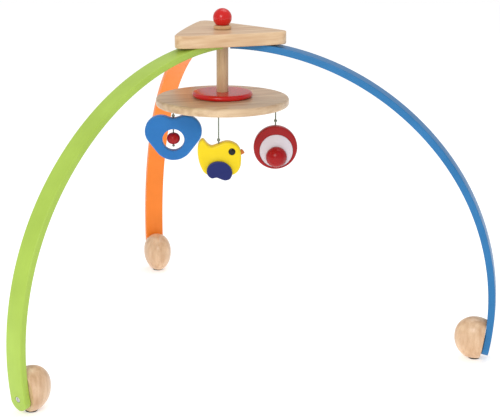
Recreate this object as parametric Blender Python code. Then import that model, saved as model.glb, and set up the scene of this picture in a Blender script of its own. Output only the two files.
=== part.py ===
"""A free-standing wooden crib and play mobile: three bent plywood legs carry a turning disc with toys.

Metres, +Z up, floor at z = 0. The orange leg points along +Y and the others are 120 degrees from it.
The origin is the middle of the bounding box at floor level, so the turning axis lies at y = AXIS_Y.
"""
import bpy
import bmesh
import math
from math import radians
from mathutils import Matrix, Vector

for old in list(bpy.data.objects):
    bpy.data.objects.remove(old, do_unlink=True)

# ---- driving dimensions ----
GAP = 0.0003                    # air left between pieces that touch

LEG_ANGLES = {"orange": 90.0, "green": 210.0, "blue": 330.0}
LEG_WIDTH = 0.0256              # across the strip
LEG_THICK = 0.0088
LEG_EDGE = 0.0014               # rounding along the strip's four edges
LEG_START = 0.0125              # inner end of the strip, from the turning axis
ARC_START = 0.013               # where the strip starts to bend
UPPER_RADIUS = 0.34625          # outer face of the strip, upper bend
LOWER_RADIUS = 0.314            # outer face of the strip, lower bend
BLEND_ANGLE = 38.0              # elevation at which the two bends meet
TUCK_ANGLE = 12.0               # how far the bend runs on past the vertical
PLATE_BASE = 0.394              # underside of the top plate
LEG_TOP = 0.3962                # outer face of the strip, let into a groove in the plate

PLATE_THICK = 0.016
PLATE_REACH = 0.081             # axis to the tip of a corner
PLATE_CORNER = 0.010            # radius of a corner
PLATE_BOW = 0.0025              # how far a side bulges in its middle
SCREW_RADII = (0.030, 0.050)    # leg screws, from the axis

FOOT_REACH = 0.3290             # middle of the foot's widest turn, from the turning axis
FOOT_RADIUS = 0.0266            # half of its length, along the leg's direction
FOOT_SQUEEZE = 0.74             # its width is this share of its length
FOOT_BASE = 0.0021              # the flat it stands on
FOOT_WAIST = 0.0295             # height of the widest turn
FOOT_UP = 0.0250                # from there to the top, along its own axis
FOOT_DOWN = 0.0305              # from there down, before the flat is sawn
FOOT_LEAN = 6.0                 # it leans outwards with the strip, in degrees
FOOT_BLUNT = 0.94               # below 1 makes the upper part blunter than an ellipse
FOOT_TAPER = 1.08               # above 1 makes the lower part slimmer
FOOT_SCREW_Z = 0.0190
PAD_REACH = 0.3282
PAD_RADIUS = 0.0072
PAD_THICK = 0.0018

DOWEL_RADIUS = 0.0075
SPIGOT_RADIUS = 0.0040
RUNNING_GAP = 0.0004            # dowel in the plate's bore
BALL_RADIUS = 0.0118
BALL_CENTRE = 0.4242
COLLAR_RADIUS = 0.0110
COLLAR_HEIGHT = 0.0046

DISC_TOP = 0.3240
DISC_THICK = 0.0104
DISC_RADIUS = 0.0840
HUB_DISC_RADIUS = 0.0380
HUB_DISC_THICK = 0.0067
POCKET_DEPTH = 0.0050

STRING_RADIUS = 0.0765          # turning axis to each cord
CORD_RADIUS = 0.0009
PIVOT_DEPTH = 0.0038            # the cord swings from this far below the disc's top
CORD_HOLE_TOP = 0.0008          # wood left over a cord's blind hole
FLARE = 30.0                    # half angle of the hole's flared mouth
FACE_ANGLE = -17.0              # the toys' flat faces look across this direction

HEART_ANGLE = 129.0
BIRD_ANGLE = 249.0
RING_ANGLE = 9.0

COLOURS = {
    "plate_wood": ((0.78, 0.55, 0.32, 1.0), 0.45),
    "disc_wood": ((0.80, 0.58, 0.35, 1.0), 0.45),
    "knob_wood": ((0.78, 0.55, 0.32, 1.0), 0.45),
    "dowel_wood": ((0.76, 0.53, 0.30, 1.0), 0.45),
    "foot_wood": ((0.66, 0.41, 0.20, 1.0), 0.45),
    "green_paint": ((0.43, 0.61, 0.11, 1.0), 0.40),
    "orange_paint": ((0.93, 0.26, 0.03, 1.0), 0.40),
    "blue_paint": ((0.06, 0.26, 0.55, 1.0), 0.40),
    "heart_paint": ((0.03, 0.19, 0.56, 1.0), 0.38),
    "red_paint": ((0.58, 0.025, 0.02, 1.0), 0.30),
    "yellow_paint": ((0.94, 0.72, 0.01, 1.0), 0.38),
    "navy_paint": ((0.018, 0.03, 0.18, 1.0), 0.38),
    "white_paint": ((0.68, 0.64, 0.70, 1.0), 0.35),
    "beak_paint": ((0.62, 0.25, 0.06, 1.0), 0.40),
    "eye_black": ((0.01, 0.01, 0.01, 1.0), 0.20),
    "cord_fibre": ((0.20, 0.24, 0.19, 1.0), 0.85),
    "rubber_pad": ((0.03, 0.03, 0.03, 1.0), 0.80),
    "screw_steel": ((0.60, 0.60, 0.62, 1.0), 0.35),
}


# ---- helpers ----
def material(slot):
    """The named finish, made once."""
    found = bpy.data.materials.get(slot)
    if found:
        return found
    made = bpy.data.materials.new(slot)
    made.use_nodes = True
    shader = made.node_tree.nodes["Principled BSDF"]
    colour, roughness = COLOURS[slot]
    shader.inputs["Base Color"].default_value = colour
    shader.inputs["Roughness"].default_value = roughness
    shader.inputs["Metallic"].default_value = 1.0 if slot == "screw_steel" else 0.0
    return made


def empty(name, place, turn=0.0, parent=None):
    """A guide with no mesh: the place and turn of a group of pieces."""
    guide = bpy.data.objects.new(name, None)
    bpy.context.scene.collection.objects.link(guide)
    guide.location = place
    guide.rotation_euler = (0.0, 0.0, turn)
    guide.parent = parent
    return guide


def finish(name, bm, slot, parent=None, place=(0, 0, 0), tilt=(0, 0, 0), smooth=40.0):
    """Turn a bmesh into a named object with its own finish."""
    bmesh.ops.recalc_face_normals(bm, faces=bm.faces)
    mesh = bpy.data.meshes.new(name)
    bm.to_mesh(mesh)
    bm.free()
    piece = bpy.data.objects.new(name, mesh)
    bpy.context.scene.collection.objects.link(piece)
    piece.location = place
    piece.rotation_euler = tilt
    piece.parent = parent
    if slot:
        mesh.materials.append(material(slot))
        mesh.shade_smooth()
        mesh.set_sharp_from_angle(angle=radians(smooth))
    return piece


def arc(cx, cz, radius, start, end, steps):
    """Points on a circular arc, angles in degrees, both ends included."""
    turns = [radians(start + (end - start) * i / steps) for i in range(steps + 1)]
    return [(cx + radius * math.cos(t), cz + radius * math.sin(t)) for t in turns]


def lathe(name, profile, slot, segments=32, **where):
    """A solid turned about Z. The profile's (radius, height) points start and end on the axis."""
    bm = bmesh.new()
    rings = []
    for radius, height in profile:
        if radius < 1e-7:
            rings.append([bm.verts.new((0.0, 0.0, height))])
            continue
        turns = [2 * math.pi * i / segments for i in range(segments)]
        rings.append([bm.verts.new((radius * math.cos(t), radius * math.sin(t), height)) for t in turns])
    for lower, upper in zip(rings, rings[1:]):
        for i in range(segments):
            j = (i + 1) % segments
            corners = [lower[i % len(lower)], lower[j % len(lower)]]
            corners += [upper[j % len(upper)], upper[i % len(upper)]]
            bm.faces.new(list(dict.fromkeys(corners)))
    return finish(name, bm, slot, **where)


def washer(name, profile, slot, segments=48, **where):
    """A turned ring: the closed (radius, height) profile never meets the axis."""
    bm = bmesh.new()
    turns = [2 * math.pi * i / segments for i in range(segments)]
    rings = [[bm.verts.new((r * math.cos(t), r * math.sin(t), h)) for r, h in profile] for t in turns]
    count = len(profile)
    for i in range(segments):
        here, there = rings[i], rings[(i + 1) % segments]
        for k in range(count):
            nxt = (k + 1) % count
            bm.faces.new((here[k], there[k], there[nxt], here[nxt]))
    return finish(name, bm, slot, **where)


def slab(name, outline, low, high, slot, edge=0.0, upright=False, segments=2, **where):
    """An outline extruded from low to high: along Z, or along Y when it stands upright."""
    bm = bmesh.new()

    def point(u, v, depth):
        return (u, depth, v) if upright else (u, v, depth)

    first = [bm.verts.new(point(u, v, low)) for u, v in outline]
    second = [bm.verts.new(point(u, v, high)) for u, v in outline]
    bm.faces.new(first)
    bm.faces.new(second)
    for i in range(len(outline)):
        j = (i + 1) % len(outline)
        bm.faces.new((first[i], first[j], second[j], second[i]))
    piece = finish(name, bm, slot, **where)
    if edge > 0.0:
        bevel = piece.modifiers.new("rounded_edge", "BEVEL")
        bevel.width = edge
        bevel.segments = segments
        bevel.limit_method = "ANGLE"
        bevel.angle_limit = radians(50.0)
        bevel.use_clamp_overlap = False
    return piece


def cut(piece, cutter):
    """Take the cutter's shape out of the piece; the cutter is a guide that stays out of the model."""
    cutter.hide_render = True
    cutter.display_type = "WIRE"
    boolean = piece.modifiers.new("cut_" + cutter.name, "BOOLEAN")
    boolean.operation = "DIFFERENCE"
    boolean.solver = "EXACT"
    boolean.object = cutter


def drill(piece, name, profile, segments=24, **where):
    """A turned hole: the profile runs up the axis from below, as for lathe."""
    cut(piece, lathe(name, profile, None, segments=segments, **where))


def polar(radius, angle, height=0.0):
    """A point at a distance from the turning axis, in the axis frame."""
    return (radius * math.cos(radians(angle)), radius * math.sin(radians(angle)), height)


def screw_profile(head_radius, shank_radius, length, head_depth):
    """Countersunk screw standing on its head: flat head at z = 0, point at z = length."""
    return [(0, 0), (head_radius, 0), (head_radius, 0.0003), (shank_radius, head_depth),
            (shank_radius, length - 0.003), (0.0004, length), (0, length)]


def screw_hole(head_radius, shank_radius, length, head_depth):
    """The hole for such a screw, with the gap all round and the head's cone carried on outwards."""
    wide = head_radius + GAP
    return [(0, -0.006), (wide + 0.0004, -0.006), (wide + 0.0004, 0.0),
            (wide, 0.0003 + GAP), (shank_radius + GAP, head_depth + GAP),
            (shank_radius + GAP, length + 0.0006), (0, length + 0.0006)]


def ball_profile(radius, centre=0.0, steps=10):
    """Half circle from the bottom pole to the top pole."""
    points = arc(0.0, centre, radius, -90.0, 90.0, steps)
    return [(0.0, centre - radius)] + points[1:-1] + [(0.0, centre + radius)]


def smooth_loop(points, steps=3):
    """A closed smooth outline through the points, by Catmull-Rom curves."""
    loop = []
    count = len(points)
    for i in range(count):
        a, b, c, d = (Vector(points[(i + k - 1) % count]) for k in range(4))
        for k in range(steps):
            t = k / steps
            spot = 0.5 * (2 * b + (c - a) * t + (2 * a - 5 * b + 4 * c - d) * t ** 2
                          + (3 * b - a - 3 * c + d) * t ** 3)
            loop.append((spot.x, spot.y))
    return loop


# ---- the leg's curve ----
LOWER_CENTRE_R = ARC_START + (UPPER_RADIUS - LOWER_RADIUS) * math.cos(radians(BLEND_ANGLE))
UPPER_CENTRE_Z = LEG_TOP - UPPER_RADIUS
LOWER_CENTRE_Z = UPPER_CENTRE_Z + (UPPER_RADIUS - LOWER_RADIUS) * math.sin(radians(BLEND_ANGLE))
OUTERMOST = LOWER_CENTRE_R + LOWER_RADIUS
AXIS_Y = -(0.25 * OUTERMOST - 0.25 * math.sqrt(0.75) * LEG_WIDTH)


def leg_station(angle):
    """Outer-face point (radius, height) and outward normal of the bend at an elevation angle."""
    nx, nz = math.cos(radians(angle)), math.sin(radians(angle))
    if angle > BLEND_ANGLE:
        return ARC_START + UPPER_RADIUS * nx, UPPER_CENTRE_Z + UPPER_RADIUS * nz, nx, nz
    return LOWER_CENTRE_R + LOWER_RADIUS * nx, LOWER_CENTRE_Z + LOWER_RADIUS * nz, nx, nz


def leg_stations(start=LEG_START):
    """(radius, height, normal, half width) from the inner end to the rounded lower end."""
    half = LEG_WIDTH / 2
    flat = [(start, LEG_TOP, 0.0, 1.0, half)]
    bend = 90.0 - BLEND_ANGLE
    upper = [leg_station(90.0 - bend * i / 16) + (half,) for i in range(17)]
    lower_stop = math.degrees(half / LOWER_RADIUS)
    lower = [leg_station(BLEND_ANGLE - BLEND_ANGLE * i / 12) + (half,) for i in range(1, 13)]
    last = TUCK_ANGLE - lower_stop
    lower += [leg_station(-last * i / 4) + (half,) for i in range(1, 5)]
    nose = [math.sin(radians(15.0 * i)) for i in range(1, 6)] + [0.995]
    lower += [leg_station(-last - lower_stop * n) + (half * math.sqrt(1 - n * n) + 0.0006,) for n in nose]
    return flat + upper + lower


def strip(name, slot, outer, inner, spare, edge, parent, turn, start=LEG_START):
    """The bent strip between two depths below the outer face, made wider by spare on each side."""
    bm = bmesh.new()
    rings = []
    for radius, height, nx, nz, half in leg_stations(start):
        wide = half + spare
        soft = min(edge, wide * 0.45)
        section = [(wide - soft, outer), (wide, outer + soft), (wide, inner - soft), (wide - soft, inner),
                   (-wide + soft, inner), (-wide, inner - soft), (-wide, outer + soft), (-wide + soft, outer)]
        rings.append([bm.verts.new((radius - nx * depth, side, height - nz * depth)) for side, depth in section])
    for here, there in zip(rings, rings[1:]):
        for k in range(8):
            j = (k + 1) % 8
            bm.faces.new((here[k], here[j], there[j], there[k]))
    bm.faces.new(rings[0])
    bm.faces.new(rings[-1])
    return finish(name, bm, slot, parent=parent, tilt=(0, 0, turn))


# ---- frame: top plate, legs, feet ----
axis = empty("turning_axis", (0.0, AXIS_Y, 0.0))


def plate_outline():
    """Triangle with round corners over the legs and gently bowed sides."""
    corner_reach = PLATE_REACH - PLATE_CORNER
    side = corner_reach * 0.5 + PLATE_CORNER
    points = []
    for middle in (90.0, 210.0, 330.0):
        cx, cy, _ = polar(corner_reach, middle)
        points += arc(cx, cy, PLATE_CORNER, middle - 54.0, middle + 54.0, 8)
        facing = middle + 60.0
        mx, my, _ = polar(side + PLATE_BOW, facing)
        ux, uy, _ = polar(1.0, facing + 90.0)
        for along in (-0.5, 0.0, 0.5):
            drop = PLATE_BOW * (1 - (along * 0.9) ** 2) - PLATE_BOW
            nx, ny, _ = polar(drop, facing)
            reach = along * corner_reach * math.sqrt(0.75)
            points.append((mx + ux * reach + nx, my + uy * reach + ny))
    return points


def make_top_plate():
    """Plate with a bore for the dowel and a pilot hole for each leg screw."""
    plate = slab("top_plate", plate_outline(), PLATE_BASE, PLATE_BASE + PLATE_THICK, "plate_wood",
                 edge=0.0016, parent=axis)
    bore = DOWEL_RADIUS + RUNNING_GAP
    low, high = PLATE_BASE - 0.01, PLATE_BASE + PLATE_THICK + 0.01
    drill(plate, "plate_bore", [(0, low), (bore, low), (bore, high), (0, high)], segments=40, parent=axis)
    return plate


LEG_SCREW = (0.0034, 0.0017, 0.0190, 0.0024)
FOOT_SCREW = (0.0034, 0.0017, 0.0240, 0.0024)


def leg_screw_place(reach, turn_deg):
    """Head of a leg screw: sunk a little under the strip's inner face, pointing up."""
    _, height, _, nz = leg_station(math.degrees(math.acos((reach - ARC_START) / UPPER_RADIUS)))
    return polar(reach, turn_deg, height - LEG_THICK / nz + 0.0003)


def make_leg(colour, plate):
    """One bent strip with its two plate screws, foot, foot screw and pad."""
    angle = LEG_ANGLES[colour]
    turn = radians(angle)
    leg = strip("leg_" + colour, colour + "_paint", 0.0, LEG_THICK, 0.0, LEG_EDGE, axis, turn)
    for number, reach in enumerate(SCREW_RADII, start=1):
        place = leg_screw_place(reach, angle)
        name = f"leg_screw_{colour}_{number}"
        screw = lathe(name, screw_profile(*LEG_SCREW), "screw_steel", segments=16, parent=axis, place=place)
        slot_box = slab("slot_" + name, [(-0.0024, -0.0004), (0.0024, -0.0004), (0.0024, 0.0004), (-0.0024, 0.0004)],
                        -0.001, 0.0008, None, parent=axis, place=place, tilt=(0, 0, turn))
        cut(screw, slot_box)
        hole = lathe("hole_" + name, screw_hole(*LEG_SCREW), None, segments=16, parent=axis, place=place)
        cut(leg, hole)
        cut(plate, hole)
    cut(plate, strip("groove_" + colour, None, -GAP, 0.03, GAP, 0.0, axis, turn, LEG_START - GAP))
    make_foot(colour, angle, leg)
    return leg


def foot_profile():
    """Pebble on its own axis, widest at height 0: a blunt quarter ellipse above and a slimmer one below."""
    points = [(0.0, -FOOT_DOWN)]
    for step in range(-8, 10):
        turn = radians(step * 10.0) if step < 9 else radians(86.0)
        length = FOOT_DOWN if step < 0 else FOOT_UP
        power = FOOT_TAPER if step < 0 else FOOT_BLUNT
        reach = math.sin(abs(turn)) ** FOOT_BLUNT
        points.append((FOOT_RADIUS * math.cos(turn) ** power, math.copysign(length * reach, turn)))
    return points + [(0.0, FOOT_UP)]


def make_foot(colour, angle, leg):
    """Foot against the strip's inner face, flatter on its two sides, its screw through the strip, and its pad."""
    turn = radians(angle)
    place = polar(FOOT_REACH, angle, FOOT_WAIST)
    foot = lathe("foot_" + colour, foot_profile(), "foot_wood", segments=36, parent=axis, place=place,
                 tilt=(0.0, radians(FOOT_LEAN), turn))
    foot.data.transform(Matrix.Diagonal((1.0, FOOT_SQUEEZE, 1.0, 1.0)))
    ground = slab("ground_" + colour, [(-0.05, -0.05), (0.05, -0.05), (0.05, 0.05), (-0.05, 0.05)],
                  -0.03, FOOT_BASE, None, parent=axis, place=polar(FOOT_REACH, angle), tilt=(0, 0, turn))
    cut(foot, ground)
    seat = strip("seat_" + colour, None, -0.03, LEG_THICK + GAP, 0.03, 0.0, axis, turn)
    cut(foot, seat)
    lathe("pad_" + colour, [(0, 0), (PAD_RADIUS, 0), (PAD_RADIUS, PAD_THICK), (0, PAD_THICK)],
          "rubber_pad", segments=32, parent=axis, place=polar(PAD_REACH, angle))
    elevation = -math.degrees(math.asin((LOWER_CENTRE_Z - FOOT_SCREW_Z) / LOWER_RADIUS))
    reach, height, nx, nz = leg_station(elevation)
    head = polar(reach - 0.0003 * nx, angle, height - 0.0003 * nz)
    inward = (0.0, -math.pi / 2 - radians(elevation), turn)
    name = "foot_screw_" + colour
    screw = lathe(name, screw_profile(*FOOT_SCREW), "screw_steel", segments=16, parent=axis,
                  place=head, tilt=inward)
    slot_box = slab("slot_" + name, [(-0.0024, -0.0004), (0.0024, -0.0004), (0.0024, 0.0004), (-0.0024, 0.0004)],
                    -0.001, 0.0008, None, parent=axis, place=head, tilt=inward)
    cut(screw, slot_box)
    hole = lathe("hole_" + name, screw_hole(*FOOT_SCREW), None, segments=16, parent=axis,
                 place=head, tilt=inward)
    cut(leg, hole)
    cut(foot, hole)


# ---- spindle: knob, collar, dowel, hub disc, carousel disc ----
def make_spindle():
    """Everything that turns with the knob except the hanging toys. Returns the carousel disc."""
    plate_top = PLATE_BASE + PLATE_THICK
    collar_low = plate_top + GAP
    collar_top = collar_low + COLLAR_HEIGHT
    ball_low = collar_top + GAP
    spigot_top = BALL_CENTRE + 0.004
    pocket_floor = DISC_TOP - POCKET_DEPTH
    shoulder = plate_top - GAP
    dowel = lathe("spindle_dowel",
                  [(0, pocket_floor + GAP), (DOWEL_RADIUS - 0.0006, pocket_floor + GAP),
                   (DOWEL_RADIUS, pocket_floor + GAP + 0.0006), (DOWEL_RADIUS, shoulder - 0.0005),
                   (DOWEL_RADIUS - 0.0005, shoulder), (SPIGOT_RADIUS, shoulder),
                   (SPIGOT_RADIUS, spigot_top), (0, spigot_top)], "dowel_wood", segments=40, parent=axis)
    hole = SPIGOT_RADIUS + GAP
    washer("knob_collar",
           [(hole, collar_low), (COLLAR_RADIUS, collar_low), (COLLAR_RADIUS, collar_top - 0.0018),
            (COLLAR_RADIUS - 0.0005, collar_top - 0.0006), (COLLAR_RADIUS - 0.0018, collar_top),
            (hole, collar_top)], "knob_wood", segments=40, parent=axis)
    seat = math.sqrt(BALL_RADIUS ** 2 - (BALL_CENTRE - ball_low) ** 2)
    start = -math.degrees(math.asin((BALL_CENTRE - ball_low) / BALL_RADIUS))
    outline = [(0, ball_low), (seat, ball_low)] + arc(0.0, BALL_CENTRE, BALL_RADIUS, start, 90.0, 13)[1:-1]
    ball = lathe("knob_ball", outline + [(0, BALL_CENTRE + BALL_RADIUS)], "red_paint", segments=36, parent=axis)
    drill(ball, "ball_bore", [(0, ball_low - 0.002), (hole, ball_low - 0.002),
                              (hole, spigot_top + GAP), (0, spigot_top + GAP)], parent=axis)

    low, high = DISC_TOP + GAP, DISC_TOP + GAP + HUB_DISC_THICK
    bore = DOWEL_RADIUS + GAP
    bull = HUB_DISC_THICK * 0.5
    rim = arc(HUB_DISC_RADIUS - bull, low + bull, bull, -90.0, 90.0, 6)
    washer("hub_disc", [(bore, low)] + rim + [(bore, high)], "red_paint", segments=48, parent=axis)

    base = DISC_TOP - DISC_THICK
    soft = 0.0030
    under = arc(DISC_RADIUS - soft, base + soft, soft, -90.0, 0.0, 3)
    over = arc(DISC_RADIUS - soft, DISC_TOP - soft, soft, 0.0, 90.0, 3)
    disc = lathe("carousel_disc", [(0, base)] + under + over + [(0, DISC_TOP)], "disc_wood",
                 segments=64, parent=axis)
    drill(disc, "disc_pocket", [(0, pocket_floor), (bore, pocket_floor), (bore, DISC_TOP + 0.005),
                                (0, DISC_TOP + 0.005)], segments=40, parent=axis)
    end_screw = (0.0040, 0.0019, 0.0230, 0.0028)
    place = (0.0, 0.0, base + 0.0003)
    screw = lathe("spindle_screw", screw_profile(*end_screw), "screw_steel", segments=16, parent=axis, place=place)
    slot_box = slab("slot_spindle_screw", [(-0.0028, -0.0005), (0.0028, -0.0005), (0.0028, 0.0005), (-0.0028, 0.0005)],
                    -0.001, 0.0009, None, parent=axis, place=place)
    cut(screw, slot_box)
    hole = lathe("hole_spindle_screw", screw_hole(*end_screw), None, segments=16, parent=axis, place=place)
    cut(disc, hole)
    cut(dowel, hole)
    return disc


# ---- cords ----
PIVOT_Z = DISC_TOP - PIVOT_DEPTH
TIE_KNOT_RADIUS = 0.0021


def hang(name, angle, knot_z, disc):
    """Blind hole, glued-in cord end and free cord of one toy. Returns the guide on the cord's line."""
    guide = empty(name + "_hang_point", polar(STRING_RADIUS, angle, 0.0), radians(FACE_ANGLE), axis)
    neck = CORD_RADIUS + GAP
    flare_low = DISC_TOP - DISC_THICK - 0.002
    hole_top = DISC_TOP - CORD_HOLE_TOP
    mouth = neck + (PIVOT_Z + 0.0008 - flare_low) * math.tan(radians(FLARE))
    drill(disc, name + "_cord_hole", [(0, flare_low), (mouth, flare_low), (neck, PIVOT_Z + 0.0008),
                                      (neck, hole_top), (0, hole_top)], segments=20, parent=guide)
    end_low, end_high = PIVOT_Z + 0.0011, hole_top - GAP
    lathe(name + "_cord_end", [(0, end_low), (CORD_RADIUS, end_low), (CORD_RADIUS, end_high), (0, end_high)],
          "cord_fibre", segments=12, parent=guide)
    tube(name + "_cord", PIVOT_Z + 0.0007, knot_z + TIE_KNOT_RADIUS + GAP, guide)
    return guide


def tube(name, top, bottom, guide):
    """A short hanging length of cord, from top down to bottom."""
    curve = bpy.data.curves.new(name, "CURVE")
    curve.dimensions = "3D"
    curve.bevel_depth = CORD_RADIUS
    curve.bevel_resolution = 2
    curve.use_fill_caps = True
    steps = max(2, round((top - bottom) / (6 * CORD_RADIUS)))
    line = curve.splines.new("POLY")
    line.points.add(steps)
    for i, point in enumerate(line.points):
        point.co = (0.0, 0.0, top + (bottom - top) * i / steps, 1.0)
    curve.materials.append(material("cord_fibre"))
    piece = bpy.data.objects.new(name, curve)
    bpy.context.scene.collection.objects.link(piece)
    piece.parent = guide
    return piece


def tie_knot(name, knot_z, tail, guide):
    """Knot on top of a toy with the glued-in end of cord under it."""
    knot = [p for p in ball_profile(TIE_KNOT_RADIUS, knot_z, 8) if p[0] > CORD_RADIUS]
    low = knot_z - tail
    return lathe(name, [(0, low), (CORD_RADIUS, low), (CORD_RADIUS, knot[0][1] - 0.0002)]
                 + knot + [(0, knot_z + TIE_KNOT_RADIUS)], "cord_fibre", segments=12, parent=guide)


def socket(piece, name, low, high, guide, radius=CORD_RADIUS):
    """A straight upright hole on the cord's line."""
    wide = radius + GAP
    drill(piece, name, [(0, low), (wide, low), (wide, high), (0, high)], segments=12, parent=guide)


# ---- heart with a bead ----
HEART_CENTRE = 0.2600
HEART_THICK = 0.0120
HEART_LOBE = (0.0160, 0.0110, 0.0210)      # lobe circle: sideways, up, radius
HEART_BASE_RADIUS = 0.0270
HEART_NOTCH = 0.0285                       # centre of the opening to the bottom of the notch
HEART_OPENING = 0.0142
BEAD_RADIUS = 0.0087
BEAD_HALF = 0.0074
BEAD_CENTRE = 0.2612
END_KNOT_RADIUS = 0.0017
HEART_KNOT_Z = 0.2912


def heart_outline():
    """Two lobes, a round base joined to them by straight flanks, and a soft notch between the lobes."""
    side, up, lobe = HEART_LOBE
    span = math.hypot(side, up)
    flank = math.degrees(math.atan2(up, side)) - math.degrees(math.acos((HEART_BASE_RADIUS - lobe) / span))
    rise = HEART_NOTCH - up
    notch = (side ** 2 + rise ** 2 - lobe ** 2) / (2 * (lobe - rise))
    notch_z = HEART_NOTCH + notch
    meet = math.degrees(math.atan2(notch_z - up, -side))
    right = arc(side, up, lobe, flank, meet, 14)
    dip = arc(0.0, notch_z, notch, meet - 180.0, -meet, 4)[1:-1]
    left = [(-x, z) for x, z in reversed(right)]
    base = arc(0.0, 0.0, HEART_BASE_RADIUS, 180.0 - flank, 360.0 + flank, 12)[1:-1]
    return right + dip + left + base


def make_heart(disc):
    """Blue heart with a round opening, and the red bead that hangs in it."""
    guide = hang("heart", HEART_ANGLE, HEART_KNOT_Z, disc)
    half = HEART_THICK / 2
    outline = [(x, HEART_CENTRE + z) for x, z in heart_outline()]
    heart = slab("heart_body", outline, -half, half, "heart_paint", edge=0.0022, upright=True, parent=guide)
    window = slab("heart_window", arc(0.0, HEART_CENTRE, HEART_OPENING, 0.0, 348.75, 31), -0.02, 0.02, None,
                  upright=True, parent=guide)
    cut(heart, window)
    socket(heart, "heart_cord_bore", HEART_CENTRE + HEART_OPENING - 0.004, HEART_CENTRE + 0.034, guide)
    knot = ball_profile(TIE_KNOT_RADIUS, HEART_KNOT_Z, 8)
    lathe("heart_knot", knot, "cord_fibre", segments=12, parent=guide)
    bead_low = BEAD_CENTRE - BEAD_HALF
    end_knot = bead_low - GAP - END_KNOT_RADIUS
    tube("heart_bead_cord", HEART_KNOT_Z - TIE_KNOT_RADIUS - GAP, end_knot + END_KNOT_RADIUS + GAP / 2, guide)
    lathe("heart_end_knot", ball_profile(END_KNOT_RADIUS, end_knot - GAP / 2, 8), "cord_fibre",
          segments=12, parent=guide)
    hole = CORD_RADIUS + GAP
    barrel = [(hole + 0.0004 + (BEAD_RADIUS - hole - 0.0004) * math.cos(radians(t)),
               BEAD_CENTRE + BEAD_HALF * math.sin(radians(t))) for t in range(-90, 91, 18)]
    washer("heart_bead", [(hole, bead_low + 0.0003)] + barrel + [(hole, BEAD_CENTRE + BEAD_HALF - 0.0003)],
           "red_paint", segments=28, parent=guide)


# ---- bird ----
BIRD_KNOT_Z = 0.2850
BIRD_THICK = 0.0160
WING_THICK = 0.0050
EYE_PLACE = (0.0162, 0.2718)
EYE_RADIUS = 0.0041
BEAK_PLACE = (0.0268, 0.2700)
BIRD_OUTLINE = [  # round from the tail tip over the back and head, sideways and up
    (-0.0186, 0.2862), (-0.0135, 0.2805), (-0.0083, 0.2778), (-0.0010, 0.2800), (0.0065, 0.2830),
    (0.0140, 0.2832), (0.0225, 0.2792), (0.0268, 0.2720), (0.0276, 0.2620), (0.0262, 0.2515),
    (0.0200, 0.2435), (0.0080, 0.2408), (-0.0070, 0.2408), (-0.0170, 0.2445), (-0.0225, 0.2540),
    (-0.0252, 0.2650), (-0.0256, 0.2755), (-0.0232, 0.2835)]
WING_OUTLINE = [  # domed above, two scallops below
    (0.0010, 0.2604), (0.0085, 0.2585), (0.0145, 0.2530), (0.0166, 0.2455), (0.0140, 0.2388),
    (0.0080, 0.2368), (0.0020, 0.2385), (-0.0025, 0.2402), (-0.0085, 0.2394), (-0.0132, 0.2430),
    (-0.0146, 0.2485), (-0.0125, 0.2550), (-0.0065, 0.2594)]


def make_bird(disc):
    """Yellow bird with a wing and an eye on each side and a beak let into the front."""
    guide = hang("bird", BIRD_ANGLE, BIRD_KNOT_Z, disc)
    half = BIRD_THICK / 2
    bird = slab("bird_body", smooth_loop(BIRD_OUTLINE), -half, half, "yellow_paint", edge=0.0030,
                upright=True, parent=guide)
    socket(bird, "bird_cord_bore", BIRD_KNOT_Z - 0.0105, BIRD_KNOT_Z + 0.004, guide)
    tie_knot("bird_knot", BIRD_KNOT_Z, 0.0100, guide)
    for side, sign in (("front", -1.0), ("back", 1.0)):
        near, far = sign * (half + GAP), sign * (half + GAP + WING_THICK)
        slab("bird_wing_" + side, smooth_loop(WING_OUTLINE), min(near, far), max(near, far), "navy_paint",
             edge=0.0014, upright=True, parent=guide)
        place = (EYE_PLACE[0], sign * (half - 0.0012), EYE_PLACE[1])
        tilt = (sign * -math.pi / 2, 0.0, 0.0)
        eye = [(0, 0), (EYE_RADIUS, 0), (EYE_RADIUS, 0.0012)]
        eye += [(EYE_RADIUS * math.cos(radians(t)), 0.0012 + 0.0012 * math.sin(radians(t))) for t in (30, 55, 75)]
        lathe("bird_eye_" + side, eye + [(0, 0.0024)], "eye_black", segments=20, parent=guide,
              place=place, tilt=tilt)
        pit = EYE_RADIUS + GAP
        drill(bird, "bird_eye_pit_" + side, [(0, -GAP), (pit, -GAP), (pit, 0.004), (0, 0.004)], segments=20,
              parent=guide, place=place, tilt=tilt)
    beak_tilt = (0.0, radians(102.0), 0.0)
    beak = [(0, -0.0045), (0.0016, -0.0045), (0.0016, -0.0004), (0.0036, -0.0002), (0.0033, 0.0018),
            (0.0018, 0.0038), (0.0006, 0.0048), (0, 0.0050)]
    spot = (BEAK_PLACE[0], 0.0, BEAK_PLACE[1])
    lathe("bird_beak", beak, "beak_paint", segments=20, parent=guide, place=spot, tilt=beak_tilt)
    drill(bird, "bird_beak_pit", [(0, -0.0050), (0.0019, -0.0050), (0.0019, -0.0009), (0.0040, -0.0007),
                                  (0.0040, 0.006), (0, 0.006)], segments=20, parent=guide, place=spot,
          tilt=beak_tilt)


# ---- ring with an inlay and a half ball on each face ----
RING_KNOT_Z = 0.2862
RING_CENTRE = 0.2515
RING_RADIUS = 0.0284
RING_THICK = 0.0110
INLAY_CENTRE = (0.0010, 0.2472)
INLAY_RADIUS = 0.0215
INLAY_THICK = 0.0020
RECESS = 0.0026
DOME_CENTRE = (0.0012, 0.2395)
DOME_RADIUS = 0.0136


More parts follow.
